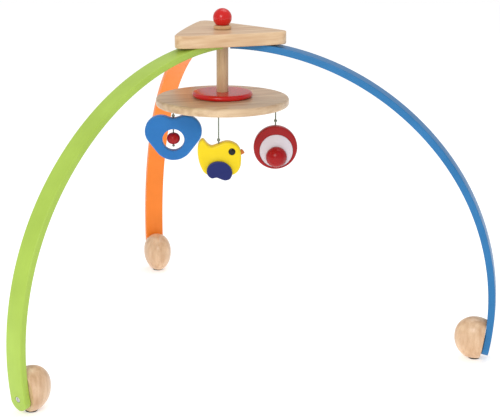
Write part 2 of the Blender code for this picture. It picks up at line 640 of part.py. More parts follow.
def make_ring(disc):
    """Round red toy with an off-centre white inlay and a red half ball on each face."""
    guide = hang("ring", RING_ANGLE, RING_KNOT_Z, disc)
    half = RING_THICK / 2
    outline = arc(0.0, RING_CENTRE, RING_RADIUS, 0.0, 352.5, 47)
    ring = slab("ring_body", outline, -half, half, "red_paint", edge=0.0020, upright=True, parent=guide)
    socket(ring, "ring_cord_bore", RING_CENTRE + RING_RADIUS - 0.0046, RING_CENTRE + RING_RADIUS + 0.003, guide)
    tie_knot("ring_knot", RING_KNOT_Z, RING_KNOT_Z - RING_CENTRE - RING_RADIUS + 0.0040, guide)
    for side, sign in (("front", -1.0), ("back", 1.0)):
        tilt = (sign * -math.pi / 2, 0.0, 0.0)
        floor = half - RECESS
        place = (INLAY_CENTRE[0], sign * floor, INLAY_CENTRE[1])
        wide = INLAY_RADIUS + GAP
        drill(ring, "ring_recess_" + side, [(0, 0), (wide, 0), (wide, 0.006), (0, 0.006)], segments=44,
              parent=guide, place=place, tilt=tilt)
        low, high = GAP, GAP + INLAY_THICK
        lathe("ring_inlay_" + side, [(0, low), (INLAY_RADIUS, low), (INLAY_RADIUS, high), (0, high)],
              "white_paint", segments=44, parent=guide, place=place, tilt=tilt)
        foot = high + GAP
        dome = [(0, foot), (DOME_RADIUS * 0.985, foot)]
        dome += [(DOME_RADIUS * math.cos(radians(t)), foot + 0.0005 + DOME_RADIUS * 0.92 * math.sin(radians(t)))
                 for t in (0, 12, 24, 36, 48, 60, 72, 82)]
        lathe("ring_dome_" + side, dome + [(0, foot + 0.0005 + DOME_RADIUS * 0.92)], "red_paint", segments=32,
              parent=guide, place=(DOME_CENTRE[0], sign * floor, DOME_CENTRE[1]), tilt=tilt)


# ---- assembly ----
top_plate = make_top_plate()
for leg_colour in LEG_ANGLES:
    make_leg(leg_colour, top_plate)
carousel = make_spindle()
make_heart(carousel)
make_bird(carousel)
make_ring(carousel)
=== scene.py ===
# %% [markdown]
# # A wooden crib and play mobile
# Three bent plywood legs meet under a triangular plate. A dowel turns in the plate and carries a round disc,
# and three painted wooden toys hang from it on short cords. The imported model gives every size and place.
# This script gives each piece its finished surface: it is worked out as a grid of points with numpy, rides on
# the body that the model says, and gets a paint, wood, cord or metal made of nodes.

import bpy
import numpy as np
from mathutils import Matrix, Vector


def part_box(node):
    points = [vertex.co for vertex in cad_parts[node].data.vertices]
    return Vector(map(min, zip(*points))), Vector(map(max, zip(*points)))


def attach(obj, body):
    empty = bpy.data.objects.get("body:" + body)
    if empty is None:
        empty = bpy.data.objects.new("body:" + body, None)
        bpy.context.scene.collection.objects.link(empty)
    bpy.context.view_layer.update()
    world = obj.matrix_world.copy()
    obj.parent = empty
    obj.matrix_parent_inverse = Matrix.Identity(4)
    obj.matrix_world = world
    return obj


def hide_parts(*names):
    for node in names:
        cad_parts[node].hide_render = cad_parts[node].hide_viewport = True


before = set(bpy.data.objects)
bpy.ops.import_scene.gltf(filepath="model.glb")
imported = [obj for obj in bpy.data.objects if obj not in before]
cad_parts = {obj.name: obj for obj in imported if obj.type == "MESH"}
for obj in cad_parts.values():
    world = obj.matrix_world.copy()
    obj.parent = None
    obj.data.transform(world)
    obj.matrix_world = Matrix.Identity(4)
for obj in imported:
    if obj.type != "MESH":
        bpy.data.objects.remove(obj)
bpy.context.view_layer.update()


# %% [markdown]
# ## Camera
# The view is from a little above the disc, a good way off with a long lens, so that verticals stay nearly
# upright. Working the camera out from its distance, its height and how far it turns off the axis keeps the
# numbers few. The turning axis is the middle of the dowel.

# %% Camera
CAMERA_REACH = 1.8909
CAMERA_HEIGHT = 0.6808
CAMERA_LENS = 109.39
SENSOR = 36.0
AZIMUTH, YAW, PITCH, ROLL = np.radians([-17.416, -1.07, 14.891, 0.216])


def middle(node):
    """Middle of a node's box."""
    return np.mean(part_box(node), axis=0)


def linked(name, data):
    """A new object with this data, in the scene."""
    made = bpy.data.objects.new(name, data)
    bpy.context.scene.collection.objects.link(made)
    return made


AXIS = middle("spindle_dowel")[:2]
GROUND = (*AXIS, 0.0)
camera = linked("camera", bpy.data.cameras.new("camera"))
camera.data.lens = CAMERA_LENS
camera.data.sensor_width = SENSOR
camera.location = (AXIS[0] + CAMERA_REACH * np.sin(AZIMUTH), AXIS[1] - CAMERA_REACH * np.cos(AZIMUTH),
                   CAMERA_HEIGHT)
camera.rotation_euler = (Matrix.Rotation(AZIMUTH + YAW, 3, "Z") @ Matrix.Rotation(np.pi / 2 - PITCH, 3, "X")
                         @ Matrix.Rotation(ROLL, 3, "Z")).to_euler()
bpy.context.scene.camera = camera
print("camera at", [round(v, 3) for v in camera.location])


# %% [markdown]
# ## Grids of points
# Every new surface is an array of rows: row i, point j. Rows can close on themselves, and so can the whole
# stack of rows. A row whose points all coincide is a pole, and its points are made one. The faces are put in
# the mesh as whole arrays, and the signed volume says whether they have to be turned round.

# %% Mesh from a grid
def grid_faces(rows, columns, wrap_rows, wrap_columns):
    """Corner indices of the quads of a grid: each joins a point to its neighbours along and across."""
    i = np.arange(rows if wrap_rows else rows - 1)[:, None]
    j = np.arange(columns if wrap_columns else columns - 1)[None, :]
    nxt_i, nxt_j = (i + 1) % rows, (j + 1) % columns
    corners = [i * columns + j, nxt_i * columns + j, nxt_i * columns + nxt_j, i * columns + nxt_j]
    return np.stack([np.broadcast_to(c, (i.size, j.size)) for c in corners], axis=-1).reshape(-1, 4)


def signed_volume(points, faces):
    """Six times the volume inside the faces, positive when they point outwards."""
    a, b, c, d = (points[faces[:, k]] for k in range(4))
    return np.einsum("ij,ij->i", a, np.cross(b, c)).sum() + np.einsum("ij,ij->i", a, np.cross(c, d)).sum()


def fill_mesh(mesh, points, loops, starts, totals):
    """Put whole arrays of points and corner indices into an empty mesh."""
    mesh.vertices.add(len(points))
    mesh.vertices.foreach_set("co", points.astype(np.float32).ravel())
    mesh.loops.add(len(loops))
    mesh.loops.foreach_set("vertex_index", loops.astype(np.int32))
    mesh.polygons.add(len(starts))
    mesh.polygons.foreach_set("loop_start", starts.astype(np.int32))
    mesh.polygons.foreach_set("loop_total", totals.astype(np.int32))
    mesh.update(calc_edges=True)

print("a sheet of 3 by 4 points has", len(grid_faces(3, 4, False, False)), "quads")


# %% [markdown]
# ## One closed piece
# A modelling tool would merge the doubled points of poles and seams by distance. Here numpy finds the equal
# points, and a quad that loses a corner that way becomes a triangle. Sharp edges come from the angle between
# faces, and the values that the finishes read are stored on the points.

# %% Closed surface
def surface(name, grid, wrap_rows=False, wrap_columns=False, uv=None, values=None, sharp=40.0):
    """A closed piece from a grid of points. uv is a pair of arrays in metres along and round the surface, and
    values holds further arrays for the finishes, such as rim, which is 1 where paint gets rubbed and, on cords
    and knots, 1 in the grooves between strands, where the cord finish paints shade."""
    grid = np.asarray(grid, dtype=float)
    rows, columns = grid.shape[:2]
    flat = grid.reshape(-1, 3)
    faces = grid_faces(rows, columns, wrap_rows, wrap_columns)
    if signed_volume(flat, faces) < 0:
        faces = faces[:, ::-1]
    _, first, same = np.unique(np.round(flat, 8) + 0.0, axis=0, return_index=True, return_inverse=True)
    merged = same.reshape(-1)[faces]
    keep = merged != np.roll(merged, -1, axis=1)
    solid = keep.sum(axis=1) >= 3
    merged, keep, faces = merged[solid], keep[solid], faces[solid]
    totals = keep.sum(axis=1)
    starts = np.concatenate([[0], np.cumsum(totals)[:-1]])
    mesh = bpy.data.meshes.new(name)
    fill_mesh(mesh, flat[first], merged[keep], starts, totals)
    if uv is not None:
        u, v = (np.broadcast_to(part, (rows, columns)).reshape(-1) for part in uv)
        layer = mesh.uv_layers.new(name="surface_map")
        pairs = np.stack([u[faces[keep]], v[faces[keep]]], axis=1)
        layer.data.foreach_set("uv", pairs.astype(np.float32).ravel())
    for key, value in (values or {"rim": 0.0}).items():
        spread = np.broadcast_to(value, (rows, columns)).reshape(-1)[first].astype(np.float32)
        mesh.attributes.new(key, "FLOAT", "POINT").data.foreach_set("value", spread)
    mesh.shade_smooth()
    mesh.set_sharp_from_angle(angle=np.radians(sharp))
    return linked(name, mesh)


def capped(grid):
    """The grid with one more row at each end, all of it at the middle of that end's points."""
    caps = [np.broadcast_to(grid[k].mean(axis=0), grid[k].shape)[None] for k in (0, -1)]
    return np.concatenate([caps[0], grid, caps[1]])


# %% [markdown]
# ## Curves that the profiles are made of
# A turned piece is a profile carried round an axis, and a flat toy is an outline with a soft edge carried
# round it. Both start from arcs and straight runs joined into one list of points.

# %% Arcs, outlines and offsets
def arc(centre, radius, start, end, count):
    """Points on a circle between two angles in degrees, both ends included."""
    t = np.radians(np.linspace(start, end, count))
    return np.stack([centre[0] + radius * np.cos(t), centre[1] + radius * np.sin(t)], axis=1)


def resample(path, count):
    """The same closed line with its points spread evenly along its length."""
    path = np.vstack([path, path[:1]])
    length = np.concatenate([[0.0], np.cumsum(np.linalg.norm(np.diff(path, axis=0), axis=1))])
    wanted = np.linspace(0.0, length[-1], count + 1)[:-1]
    return np.stack([np.interp(wanted, length, path[:, k]) for k in range(2)], axis=1)


def smooth_loop(points, steps=16):
    """A closed smooth line through the points, by Catmull-Rom curves."""
    p = np.asarray(points, dtype=float)
    a, b, c, d = (np.roll(p, k, axis=0)[:, None, :] for k in (1, 0, -1, -2))
    t = (np.arange(steps) / steps)[None, :, None]
    square, cube = 2 * a - 5 * b + 4 * c - d, 3 * b - a - 3 * c + d
    return (0.5 * (2 * b + (c - a) * t + square * t ** 2 + cube * t ** 3)).reshape(-1, 2)


def outward(outline):
    """Unit normals of a closed outline that runs anticlockwise: each is square to the step past its point."""
    step = np.roll(outline, -1, axis=0) - np.roll(outline, 1, axis=0)
    step /= np.linalg.norm(step, axis=1)[:, None]
    return np.stack([step[:, 1], -step[:, 0]], axis=1)


def placed(points, origin=(0.0, 0.0, 0.0), turn=0.0):
    """Points turned about Z by an angle in radians and then moved to an origin."""
    points = np.asarray(points, dtype=float)
    c, s = np.cos(turn), np.sin(turn)
    spun = np.stack([points[..., 0] * c - points[..., 1] * s, points[..., 0] * s + points[..., 1] * c,
                     points[..., 2]], axis=-1)
    return spun + np.asarray(origin, dtype=float)


print("a quarter of a unit circle:", arc((0, 0), 1.0, 0, 90, 3).round(2).tolist())


# %% [markdown]
# ## Turned pieces
# Balls, discs, beads and dowels come off a lathe. A Screw modifier would do, but working out the rings gives
# the surface map and the rubbed rims with them. The same helper makes the drills that cut holes.

# %% Turned pieces
def turned(name, profile, centre, axis=(0.0, 0.0, 1.0), count=96, closed=False, rim=None):
    """Each profile point (radius, height) is carried round the axis: centre + radius times the turning
    direction + height times the axis. A profile that starts and ends on the axis has poles."""
    profile = np.asarray(profile, dtype=float)
    axis = np.asarray(axis, dtype=float) / np.linalg.norm(axis)
    side = np.cross(axis, (0.0, 1.0, 0.0) if abs(axis[1]) < 0.9 else (1.0, 0.0, 0.0))
    side /= np.linalg.norm(side)
    t = np.linspace(0.0, 2 * np.pi, count, endpoint=False)
    spin = np.cos(t)[:, None] * side + np.sin(t)[:, None] * np.cross(axis, side)
    grid = (np.asarray(centre, dtype=float) + profile[:, 0][:, None, None] * spin[None]
            + profile[:, 1][:, None, None] * axis)
    run = np.concatenate([[0.0], np.cumsum(np.linalg.norm(np.diff(profile, axis=0), axis=1))])
    worn = 0.0 if rim is None else np.asarray(rim, dtype=float)[:, None]
    return surface(name, grid, wrap_rows=closed, wrap_columns=True, values={"rim": worn},
                   uv=(t[None, :] * profile[:, 0].max(), run[:, None]))


def rounded_profile(radius, low, high, soft, count=9):
    """Profile of a disc from its underside's middle, round a soft rim, to its top's middle."""
    under = arc((radius - soft, low + soft), soft, -90.0, 0.0, count)
    over = arc((radius - soft, high - soft), soft, 0.0, 90.0, count)
    return np.vstack([[[0.0, low]], under, over, [[0.0, high]]])


def drill(name, radius, low, high, centre, axis=(0.0, 0.0, 1.0), count=40):
    """A straight cylinder between two heights on an axis, to carve with."""
    return turned(name, [(0, low), (radius, low), (radius, high), (0, high)], centre, axis, count=count)


print("a soft disc's profile has", len(rounded_profile(1.0, 0.0, 0.2, 0.05)), "points")


# %% [markdown]
# ## Flat toys and the top plate
# Sawn and sanded shapes share one recipe: the outline is drawn in by a quarter circle at each edge, and the
# two faces close towards a middle point, or towards a round hole. The faces swell by a hair in the middle,
# as hand-sanded wood does, which breaks up the reflections.

# %% Soft edges
EDGE_STEPS = 8


def edge_steps(half, soft, count):
    """(inset, depth) round the edge from the front face to the back face, by two quarter circles."""
    t = np.linspace(0.0, np.pi / 2, count)
    front = np.stack([soft * (1 - np.sin(t)), -half + soft * (1 - np.cos(t))], axis=1)
    back = np.stack([front[::-1, 0], -front[::-1, 1]], axis=1)
    return np.vstack([front, back])


def touching_radius(outline, normal):
    """Radius of the largest circle inside the outline that touches it at each point: for every other point
    q it is at most |p - q| squared over twice the drop of q below p's tangent."""
    apart = outline[:, None] - outline[None]
    drop = np.einsum("ijk,ik->ij", apart, normal)
    square = np.einsum("ijk,ijk->ij", apart, apart)
    limit = np.where(drop > 1e-7, square / (2 * np.maximum(drop, 1e-7)), np.inf)
    return limit.min(axis=1)


print("edge steps:", len(edge_steps(0.006, 0.002, EDGE_STEPS)))


# %% [markdown]
# ## Joining the edge to the faces
# The walls are rows of points already. More rows carry them in over each face, and with a round hole they run
# down its wall as well, so that the whole piece is one grid that closes on itself.

# %% Sanded slabs
def sanded_slab(name, outline, half, soft, middle_point, crown=0.0002, hole=None, origin=(0.0, 0.0, 0.0),
                turn=0.0, upright=True, rings=7):
    """Point = outline drawn in along its normals by the inset, at the edge's depth. The faces run on to the
    middle point, or to the hole's circle at the same bearing, and the hole's wall joins them."""
    outline = np.asarray(outline, dtype=float)
    normal = outward(outline)
    middle_point = np.asarray(middle_point, dtype=float)
    room = np.minimum(1.0, 0.7 * touching_radius(outline, normal) / soft)
    room = (np.roll(room, 1) + room + np.roll(room, -1)) / 3
    edge = edge_steps(half, soft, EDGE_STEPS)
    walls = outline[None] - normal[None] * (edge[:, 0][:, None] * room)[..., None]
    fade = np.linspace(0.0, 1.0, rings + 1)[1:]
    spoke = walls[0] - middle_point
    spoke /= np.linalg.norm(spoke, axis=1)[:, None]
    lip = soft * 0.5
    target = middle_point + spoke * (0.0 if hole is None else hole + lip)
    face = walls[0] + (target - walls[0]) * fade[:, None, None]
    swell = crown * (1 - (1 - fade) ** 2 if hole is None else np.sin(np.pi * fade))[:, None]
    flat = [face[::-1], walls, face]
    count = len(outline)
    depth = [np.tile(-half - swell[::-1], (1, count)), np.tile(edge[:, 1:], (1, count)),
             np.tile(half + swell, (1, count))]
    rim = [np.zeros(rings), np.sqrt(np.sin(np.linspace(0, np.pi, 2 * EDGE_STEPS))), np.zeros(rings)]
    if hole is not None:
        t = np.linspace(0.0, np.pi / 2, EDGE_STEPS)
        out = np.concatenate([lip * (1 - np.sin(t)), lip * (1 - np.sin(t[::-1]))])[1:-1]
        level = np.concatenate([half - lip * (1 - np.cos(t)), lip * (1 - np.cos(t[::-1])) - half])[1:-1]
        flat.append(middle_point + spoke * (hole + out)[:, None, None])
        depth.append(np.tile(level[:, None], (1, count)))
        rim.append(np.full(len(out), 0.3))
    flat, depth = np.concatenate(flat), np.concatenate(depth)
    order = (flat[..., 0], depth, flat[..., 1]) if upright else (flat[..., 0], flat[..., 1], depth)
    return surface(name, placed(np.stack(order, axis=-1), origin, turn), wrap_rows=hole is not None,
                   wrap_columns=True, values={"rim": np.concatenate(rim)[:, None]}, sharp=50.0)


# %% [markdown]
# ## Holes
# Bores, recesses and pits are cut by exact Booleans. The result is kept as a plain mesh, so that nothing is
# left to work out at the joints' other poses.

# %% Carving
def carve(piece, *cutters):
    """Take turned cutters out of a piece with exact Booleans, keep the result, and remove the cutters."""
    for cutter in cutters:
        modifier = piece.modifiers.new("carve", "BOOLEAN")
        modifier.operation = "DIFFERENCE"
        modifier.solver = "EXACT"
        modifier.object = cutter
    bpy.context.view_layer.update()
    result = bpy.data.meshes.new_from_object(piece.evaluated_get(bpy.context.evaluated_depsgraph_get()))
    piece.modifiers.clear()
    piece.data = result
    result.shade_smooth()
    result.set_sharp_from_angle(angle=np.radians(38.0))
    for cutter in cutters:
        bpy.data.objects.remove(cutter, do_unlink=True)
    return piece


# %% [markdown]
# ## Nodes for the finishes
# A finish is a Principled shader whose colour, roughness and bump come from noise read in Object coordinates.
# One class keeps the node code short: it makes nodes, links or sets their inputs, and has a method for each
# kind of node that the finishes share.

# %% Node helpers
class Finish:
    """One material. An input given as a socket is linked, and anything else is set as a fixed value."""

    def __init__(self, name, roughness, specular=0.5, coat=0.0, coat_roughness=0.1, metallic=0.0, sheen=0.0):
        self.material = bpy.data.materials.new(name)
        self.material.use_nodes = True
        self.tree = self.material.node_tree
        self.shader = self.tree.nodes["Principled BSDF"]
        self.set(self.shader, {"Roughness": roughness, "Metallic": metallic, "Specular IOR Level": specular,
                               "Coat Weight": coat, "Coat Roughness": coat_roughness, "Sheen Weight": sheen})
        self.coordinates = self.make("TexCoord", "Object")

    def set(self, node, inputs):
        """Link or set a node's inputs, by name or number."""
        for key, value in inputs.items():
            if isinstance(value, bpy.types.NodeSocket):
                self.tree.links.new(value, node.inputs[key])
            else:
                node.inputs[key].default_value = value

    def make(self, kind, output, inputs={}, **settings):
        """One output of a new node, after its settings and its inputs."""
        node = self.tree.nodes.new("ShaderNode" + kind)
        for key, value in settings.items():
            setattr(node, key, value)
        self.set(node, inputs)
        return node.outputs[output]

    def mapping(self, scale, turn=(0.0, 0.0, 0.0), shift=(0.0, 0.0, 0.0)):
        """Coordinates moved, turned and stretched, so that a pattern lies along the grain."""
        return self.make("Mapping", "Vector", {"Vector": self.coordinates, "Scale": scale, "Rotation": turn,
                                               "Location": shift})

    def noise(self, vector, scale=1.0, detail=4.0, rough=0.55, distortion=0.0):
        """Fractal noise from 0 to 1."""
        return self.make("TexNoise", "Fac", {"Vector": vector, "Scale": scale, "Detail": detail,
                                             "Roughness": rough, "Distortion": distortion})

    def math(self, operation, a, b=0.0):
        """One arithmetic step."""
        return self.make("Math", 0, {0: a, 1: b}, operation=operation)

    def ramp(self, value, low, high):
        """Stretch a value so that low becomes 0 and high becomes 1."""
        return self.make("MapRange", 0, {"Value": value, "From Min": low, "From Max": high}, clamp=True)

    def blend(self, factor, a, b, mode="MIX"):
        """Mix two colours."""
        return self.make("Mix", 2, {0: factor, 6: a, 7: b}, data_type="RGBA", blend_type=mode)

    def bump(self, height, depth, strength=1.0, under=None):
        """Relief: height 0 to 1 stands for depth metres, over the relief under it."""
        inputs = {"Height": height, "Distance": depth, "Strength": strength}
        return self.make("Bump", "Normal", inputs if under is None else {**inputs, "Normal": under})

    def attribute(self, name):
        """A value stored on the mesh's points."""
        return self.make("Attribute", "Fac", attribute_name=name)


def colour(red, green, blue):
    """A display colour, 0 to 255 a channel, as the linear light that shaders use."""
    c = np.array([red, green, blue]) / 255.0
    linear = np.where(c <= 0.04045, c / 12.92, ((c + 0.055) / 1.055) ** 2.4)
    return (*[float(v) for v in linear], 1.0)


print("mid grey as linear light:", round(colour(128, 128, 128)[0], 3))


# %% [markdown]
# ## Lacquered wood
# Pale beech or birch under satin lacquer. Broad bands are the year rings cut lengthwise: noise stretched
# along the grain and bent a little. Over them go fine fibres and short dark flecks. Rings are darker and a
# hair lower than the wood between them, and the fibres make it a little rougher.

# %% Wood finish
def wood_finish(name, light, dark, ring_scale=90.0, stretch=(0.12, 1.0, 1.0), turn=(0.0, 0.0, 0.0),
                shift=(0.0, 0.0, 0.0), roughness=0.42, contrast=0.5, coat=0.08):
    """Noise rings along the stretched direction, fibres, flecks and a slow change of tone."""
    f = Finish(name, roughness, specular=0.4, coat=coat, coat_roughness=0.25)
    grain = f.mapping(stretch, turn, shift)
    bands = f.noise(grain, ring_scale, detail=2.0, rough=0.45, distortion=0.35)
    fine = f.noise(grain, ring_scale * 2.6, detail=3.0, rough=0.5, distortion=0.2)
    rings = f.math("ADD", f.math("MULTIPLY", bands, 0.62), f.math("MULTIPLY", fine, 0.38))
    rings = f.ramp(rings, 0.36, 0.66)
    fibre_vector = f.mapping((stretch[0] * 0.3, stretch[1] * 3.0, stretch[2] * 3.0), turn, shift)
    fibres = f.noise(fibre_vector, ring_scale * 6.0, detail=3.0, rough=0.6)
    flecks = f.ramp(f.noise(fibre_vector, ring_scale * 9.0, detail=1.0), 0.66, 0.8)
    slow = f.noise(f.coordinates, 14.0, detail=2.0)
    tone = f.blend(f.math("MULTIPLY", rings, contrast), light, dark)
    soft = f.blend(f.ramp(slow, 0.3, 0.75), (0.92, 0.9, 0.88, 1.0), (1.05, 1.04, 1.02, 1.0))
    tone = f.blend(1.0, tone, soft, "MULTIPLY")
    tone = f.blend(f.math("MULTIPLY", f.ramp(fibres, 0.35, 0.75), 0.22), tone, dark)
    fleck = (dark[0] * 0.55, dark[1] * 0.45, dark[2] * 0.35, 1.0)
    tone = f.blend(f.math("MULTIPLY", flecks, 0.35), tone, fleck)
    tone = f.blend(f.math("MULTIPLY", f.attribute("rim"), 0.1), tone, light)
    rough = f.math("ADD", f.math("MULTIPLY", fibres, 0.16), roughness - 0.1)
    relief = f.bump(rings, 0.00006, 0.5)
    relief = f.bump(fibres, 0.00004, 0.6, under=relief)
    f.set(f.shader, {"Base Color": tone, "Roughness": rough, "Normal": relief})
    return f.material


# %% [markdown]
# ## Five woods
# The plate and the disc are the palest and have the plainest grain, along the board. The dowel's grain runs
# up its length, and the feet and the knob's collar show a mix of long grain and end grain.

# %% Woods of the parts
plate_wood = wood_finish("plate_wood_finish", colour(232, 202, 164), colour(196, 152, 110), 110.0,
                         stretch=(0.1, 1.0, 1.0), coat=0.2, contrast=0.9)
disc_wood = wood_finish("disc_wood_finish", colour(224, 196, 160), colour(180, 142, 106), 90.0,
                        stretch=(0.1, 1.0, 1.3), shift=(0.3, 0.1, 0.0), coat=0.25, contrast=0.9)
dowel_wood = wood_finish("dowel_wood_finish", colour(214, 184, 146), colour(172, 132, 94), 170.0,
                         stretch=(1.0, 1.0, 0.06), contrast=0.7)
knob_wood = wood_finish("knob_wood_finish", colour(228, 190, 142), colour(186, 138, 90), 160.0,
                        stretch=(1.0, 1.0, 0.4))
foot_wood = wood_finish("foot_wood_finish", colour(238, 204, 168), colour(190, 146, 106), 95.0,
                        stretch=(1.0, 0.8, 0.22), turn=(0.25, 0.15, 0.0), roughness=0.34, coat=0.4,
                        contrast=0.8)
print("woods:", [m.name for m in (plate_wood, disc_wood, dowel_wood, knob_wood, foot_wood)])


# %% [markdown]
# ## Paint on wood
# Toy paint is thin: the grain shows through as faint relief, broad strokes vary the tone, and edges that
# hands rub are a touch paler. A slight orange peel keeps highlights from being mirror clean.

# %% Paint finish
ORANGE_PEEL = 0.000012


def paint(name, tone, roughness=0.36, coat=0.04, specular=0.26, grain=(0.15, 1.0, 1.0), grain_scale=260.0,
          worn=0.12, vary=0.07, relief=0.000035):
    """Colour varied by slow noise, grain as bump, orange peel as a finer bump, and paler rims."""
    f = Finish(name, roughness, specular=specular, coat=coat, coat_roughness=0.16)
    slow = f.noise(f.coordinates, 22.0, detail=3.0)
    streaks = f.noise(f.mapping(grain), grain_scale, detail=4.0, rough=0.6)
    deep = tuple(c * (1.0 - vary) for c in tone[:3]) + (1.0,)
    pale = tuple(min(1.0, c * (1.0 + vary) + 0.004) for c in tone[:3]) + (1.0,)
    shade = f.blend(f.ramp(slow, 0.32, 0.7), deep, pale)
    shade = f.blend(f.math("MULTIPLY", f.ramp(streaks, 0.45, 0.75), 0.22), shade, deep)
    chalk = tuple(0.82 * c + 0.18 for c in tone[:3]) + (1.0,)
    rubbed = f.math("MULTIPLY", f.attribute("rim"), f.ramp(slow, 0.35, 0.65))
    shade = f.blend(f.math("MULTIPLY", rubbed, worn), shade, chalk)
    rough = f.math("ADD", f.math("MULTIPLY", streaks, 0.14), roughness - 0.07)
    pebble = f.noise(f.coordinates, 900.0, detail=1.0)
    normal = f.bump(streaks, relief, 0.5)
    normal = f.bump(pebble, ORANGE_PEEL, 0.5, under=normal)
    f.set(f.shader, {"Base Color": shade, "Roughness": rough, "Normal": normal})
    return f


# %% [markdown]
# ## Toy colours
# Two reds: the knob and the hub are brighter and glossier than the bead, the ring and its half balls. The
# other colours are nearly matt, and only the wing and the strips show much wear.

# %% Colours of the toys
red_gloss = paint("red_gloss_finish", colour(208, 24, 20), roughness=0.22, coat=0.14, specular=0.34,
                  relief=0.00002).material
toy_red = paint("toy_red_finish", colour(162, 8, 14), roughness=0.24, coat=0.08, specular=0.24,
                relief=0.00002).material
heart_blue = paint("heart_blue_finish", colour(34, 116, 192), roughness=0.4).material
bird_yellow = paint("bird_yellow_finish", colour(236, 206, 2), roughness=0.34, vary=0.04).material
wing_navy = paint("wing_navy_finish", colour(14, 28, 98), roughness=0.4, worn=0.2).material
inlay_white = paint("inlay_white_finish", colour(220, 212, 220), roughness=0.34, coat=0.08,
                    vary=0.03).material
beak_brown = paint("beak_brown_finish", colour(200, 112, 46), roughness=0.4).material
print("paints:", [m.name for m in (red_gloss, toy_red, heart_blue, bird_yellow, wing_navy)])


# %% [markdown]
# ## Painted plywood
# The strips are paint over bent veneers. Along the narrow sides the glue lines show through as fine darker
# grooves, and on the broad sides long fibres run with the bend, read from the piece's own map.

# %% Strip paint
PLIES = 5.0


def strip_finish(name, tone):
    """Paint over bent plywood: along the narrow sides the veneers show as fine lines under the paint."""
    f = paint(name, tone, roughness=0.38, coat=0.06, grain=(1.0, 1.0, 1.0), grain_scale=60.0, vary=0.05)
    surface_map = f.make("UVMap", "UV", uv_map="surface_map")
    run = f.make("Mapping", "Vector", {"Vector": surface_map, "Scale": (1.0, 0.02, 1.0)})
    fibres = f.noise(run, 900.0, detail=3.0, rough=0.6)
    layers = f.math("SINE", f.math("MULTIPLY", f.attribute("ply"), 2 * np.pi * PLIES))
    lines = f.math("MULTIPLY", f.ramp(layers, 0.8, 1.0), f.attribute("flank"))
    shade, normal = (f.shader.inputs[key].links[0].from_socket for key in ("Base Color", "Normal"))
    dull = tuple(c * 0.72 for c in tone[:3]) + (1.0,)
    shade = f.blend(f.math("MULTIPLY", lines, 0.45), shade, dull)
    shade = f.blend(f.math("MULTIPLY", f.ramp(fibres, 0.5, 0.8), 0.12), shade, dull)
    normal = f.bump(fibres, 0.00003, 0.6, under=normal)
    normal = f.bump(f.math("SUBTRACT", 1.0, lines), 0.00008, 0.8, under=normal)
    f.set(f.shader, {"Base Color": shade, "Normal": normal})
    return f.material


strip_paint = {"green": strip_finish("strip_green_finish", colour(172, 202, 82)),
               "orange": strip_finish("strip_orange_finish", colour(246, 132, 40)),
               "blue": strip_finish("strip_blue_finish", colour(40, 118, 176))}

print("strip paints:", sorted(strip_paint))


# %% [markdown]
# ## Small finishes
# Cord is matt and fibrous, with painted shade in the grooves between its strands. Screws are zinc plated with
# turning marks.
# The pads are dark rubber with a fine tooth, and the eyes are black enamel.

# %% Cord, steel, rubber and enamel
def cord_finish():
    """Grey-green cotton: fibres along the strands, and painted shade in the grooves where the strands meet."""
    f = Finish("cord_finish", 0.85, specular=0.2, sheen=0.3)
    fuzz = f.noise(f.coordinates, 5200.0, detail=3.0, rough=0.7)
    patches = f.noise(f.coordinates, 400.0, detail=2.0)
    shade = f.blend(f.ramp(fuzz, 0.3, 0.7), colour(112, 122, 108), colour(168, 176, 160))
    shade = f.blend(f.math("MULTIPLY", patches, 0.3), shade, colour(98, 106, 96))
    # painted shade: the rim value, 1 in the grooves between the strands, darkens the cord there
    shade = f.blend(f.math("MULTIPLY", f.attribute("rim"), 0.5), shade, colour(70, 76, 68))
    f.set(f.shader, {"Base Color": shade, "Normal": f.bump(fuzz, 0.00005, 0.7)})
    return f.material


def plain_finish(name, dark, light, patches, tooth, roughness, depth, swing=0.2, **shader):
    """Two close tones in slow patches, and a fine tooth that roughens and embosses the surface."""
    f = Finish(name, roughness, **shader)
    fine = f.noise(f.coordinates, tooth, detail=2.0)
    tone = f.ramp(f.noise(f.coordinates, patches, detail=3.0), 0.3, 0.8)
    f.set(f.shader, {"Base Color": f.blend(tone, dark, light), "Normal": f.bump(fine, depth, 0.5),
                       "Roughness": f.math("ADD", f.math("MULTIPLY", fine, swing), roughness)})
    return f.material


cord_fibre = cord_finish()
steel = plain_finish("steel_finish", colour(190, 192, 196), colour(214, 210, 200), 300.0, 2600.0, 0.2,
                     0.00001, metallic=1.0)
rubber = plain_finish("rubber_finish", colour(30, 30, 30), colour(58, 56, 52), 90.0, 2400.0, 0.62, 0.00004,
                      specular=0.3)
enamel = plain_finish("enamel_finish", colour(6, 6, 8), colour(18, 16, 18), 300.0, 1500.0, 0.12, 0.00001,
                      swing=0.12, specular=0.25, coat=0.2, coat_roughness=0.08)
print("small finishes:", [m.name for m in (cord_fibre, steel, rubber, enamel)])


# %% [markdown]
# ## A piece and its body
# A finished piece has to know two things: which body carries it, and which solids of the imported model it
# stands for. One helper says both, and gives the piece its finish.

# %% Putting a piece in its place
def settle(piece, body, slot, finish, *nodes):
    """Give a piece its finish and its body, and let it stand for its CAD nodes. The slot is not used."""
    piece.data.materials.clear()
    piece.data.materials.append(finish)
    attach(piece, body)
    if nodes:
        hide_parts(*nodes)
    print(f"{piece.name}: {len(piece.data.polygons)} faces on {body}")
    return piece


# %% [markdown]
# ## The legs
# Each leg is a plywood strip bent in a former: one wide bend from its end in the plate's groove, and a
# slightly tighter one that tucks the foot in. Its cross-section, a rectangle with soft corners, is carried
# along that curve, and the lower end is sawn round. Two values are kept for the paint: ply, the depth through
# the veneers, and flank, which is 1 on the narrow sides.

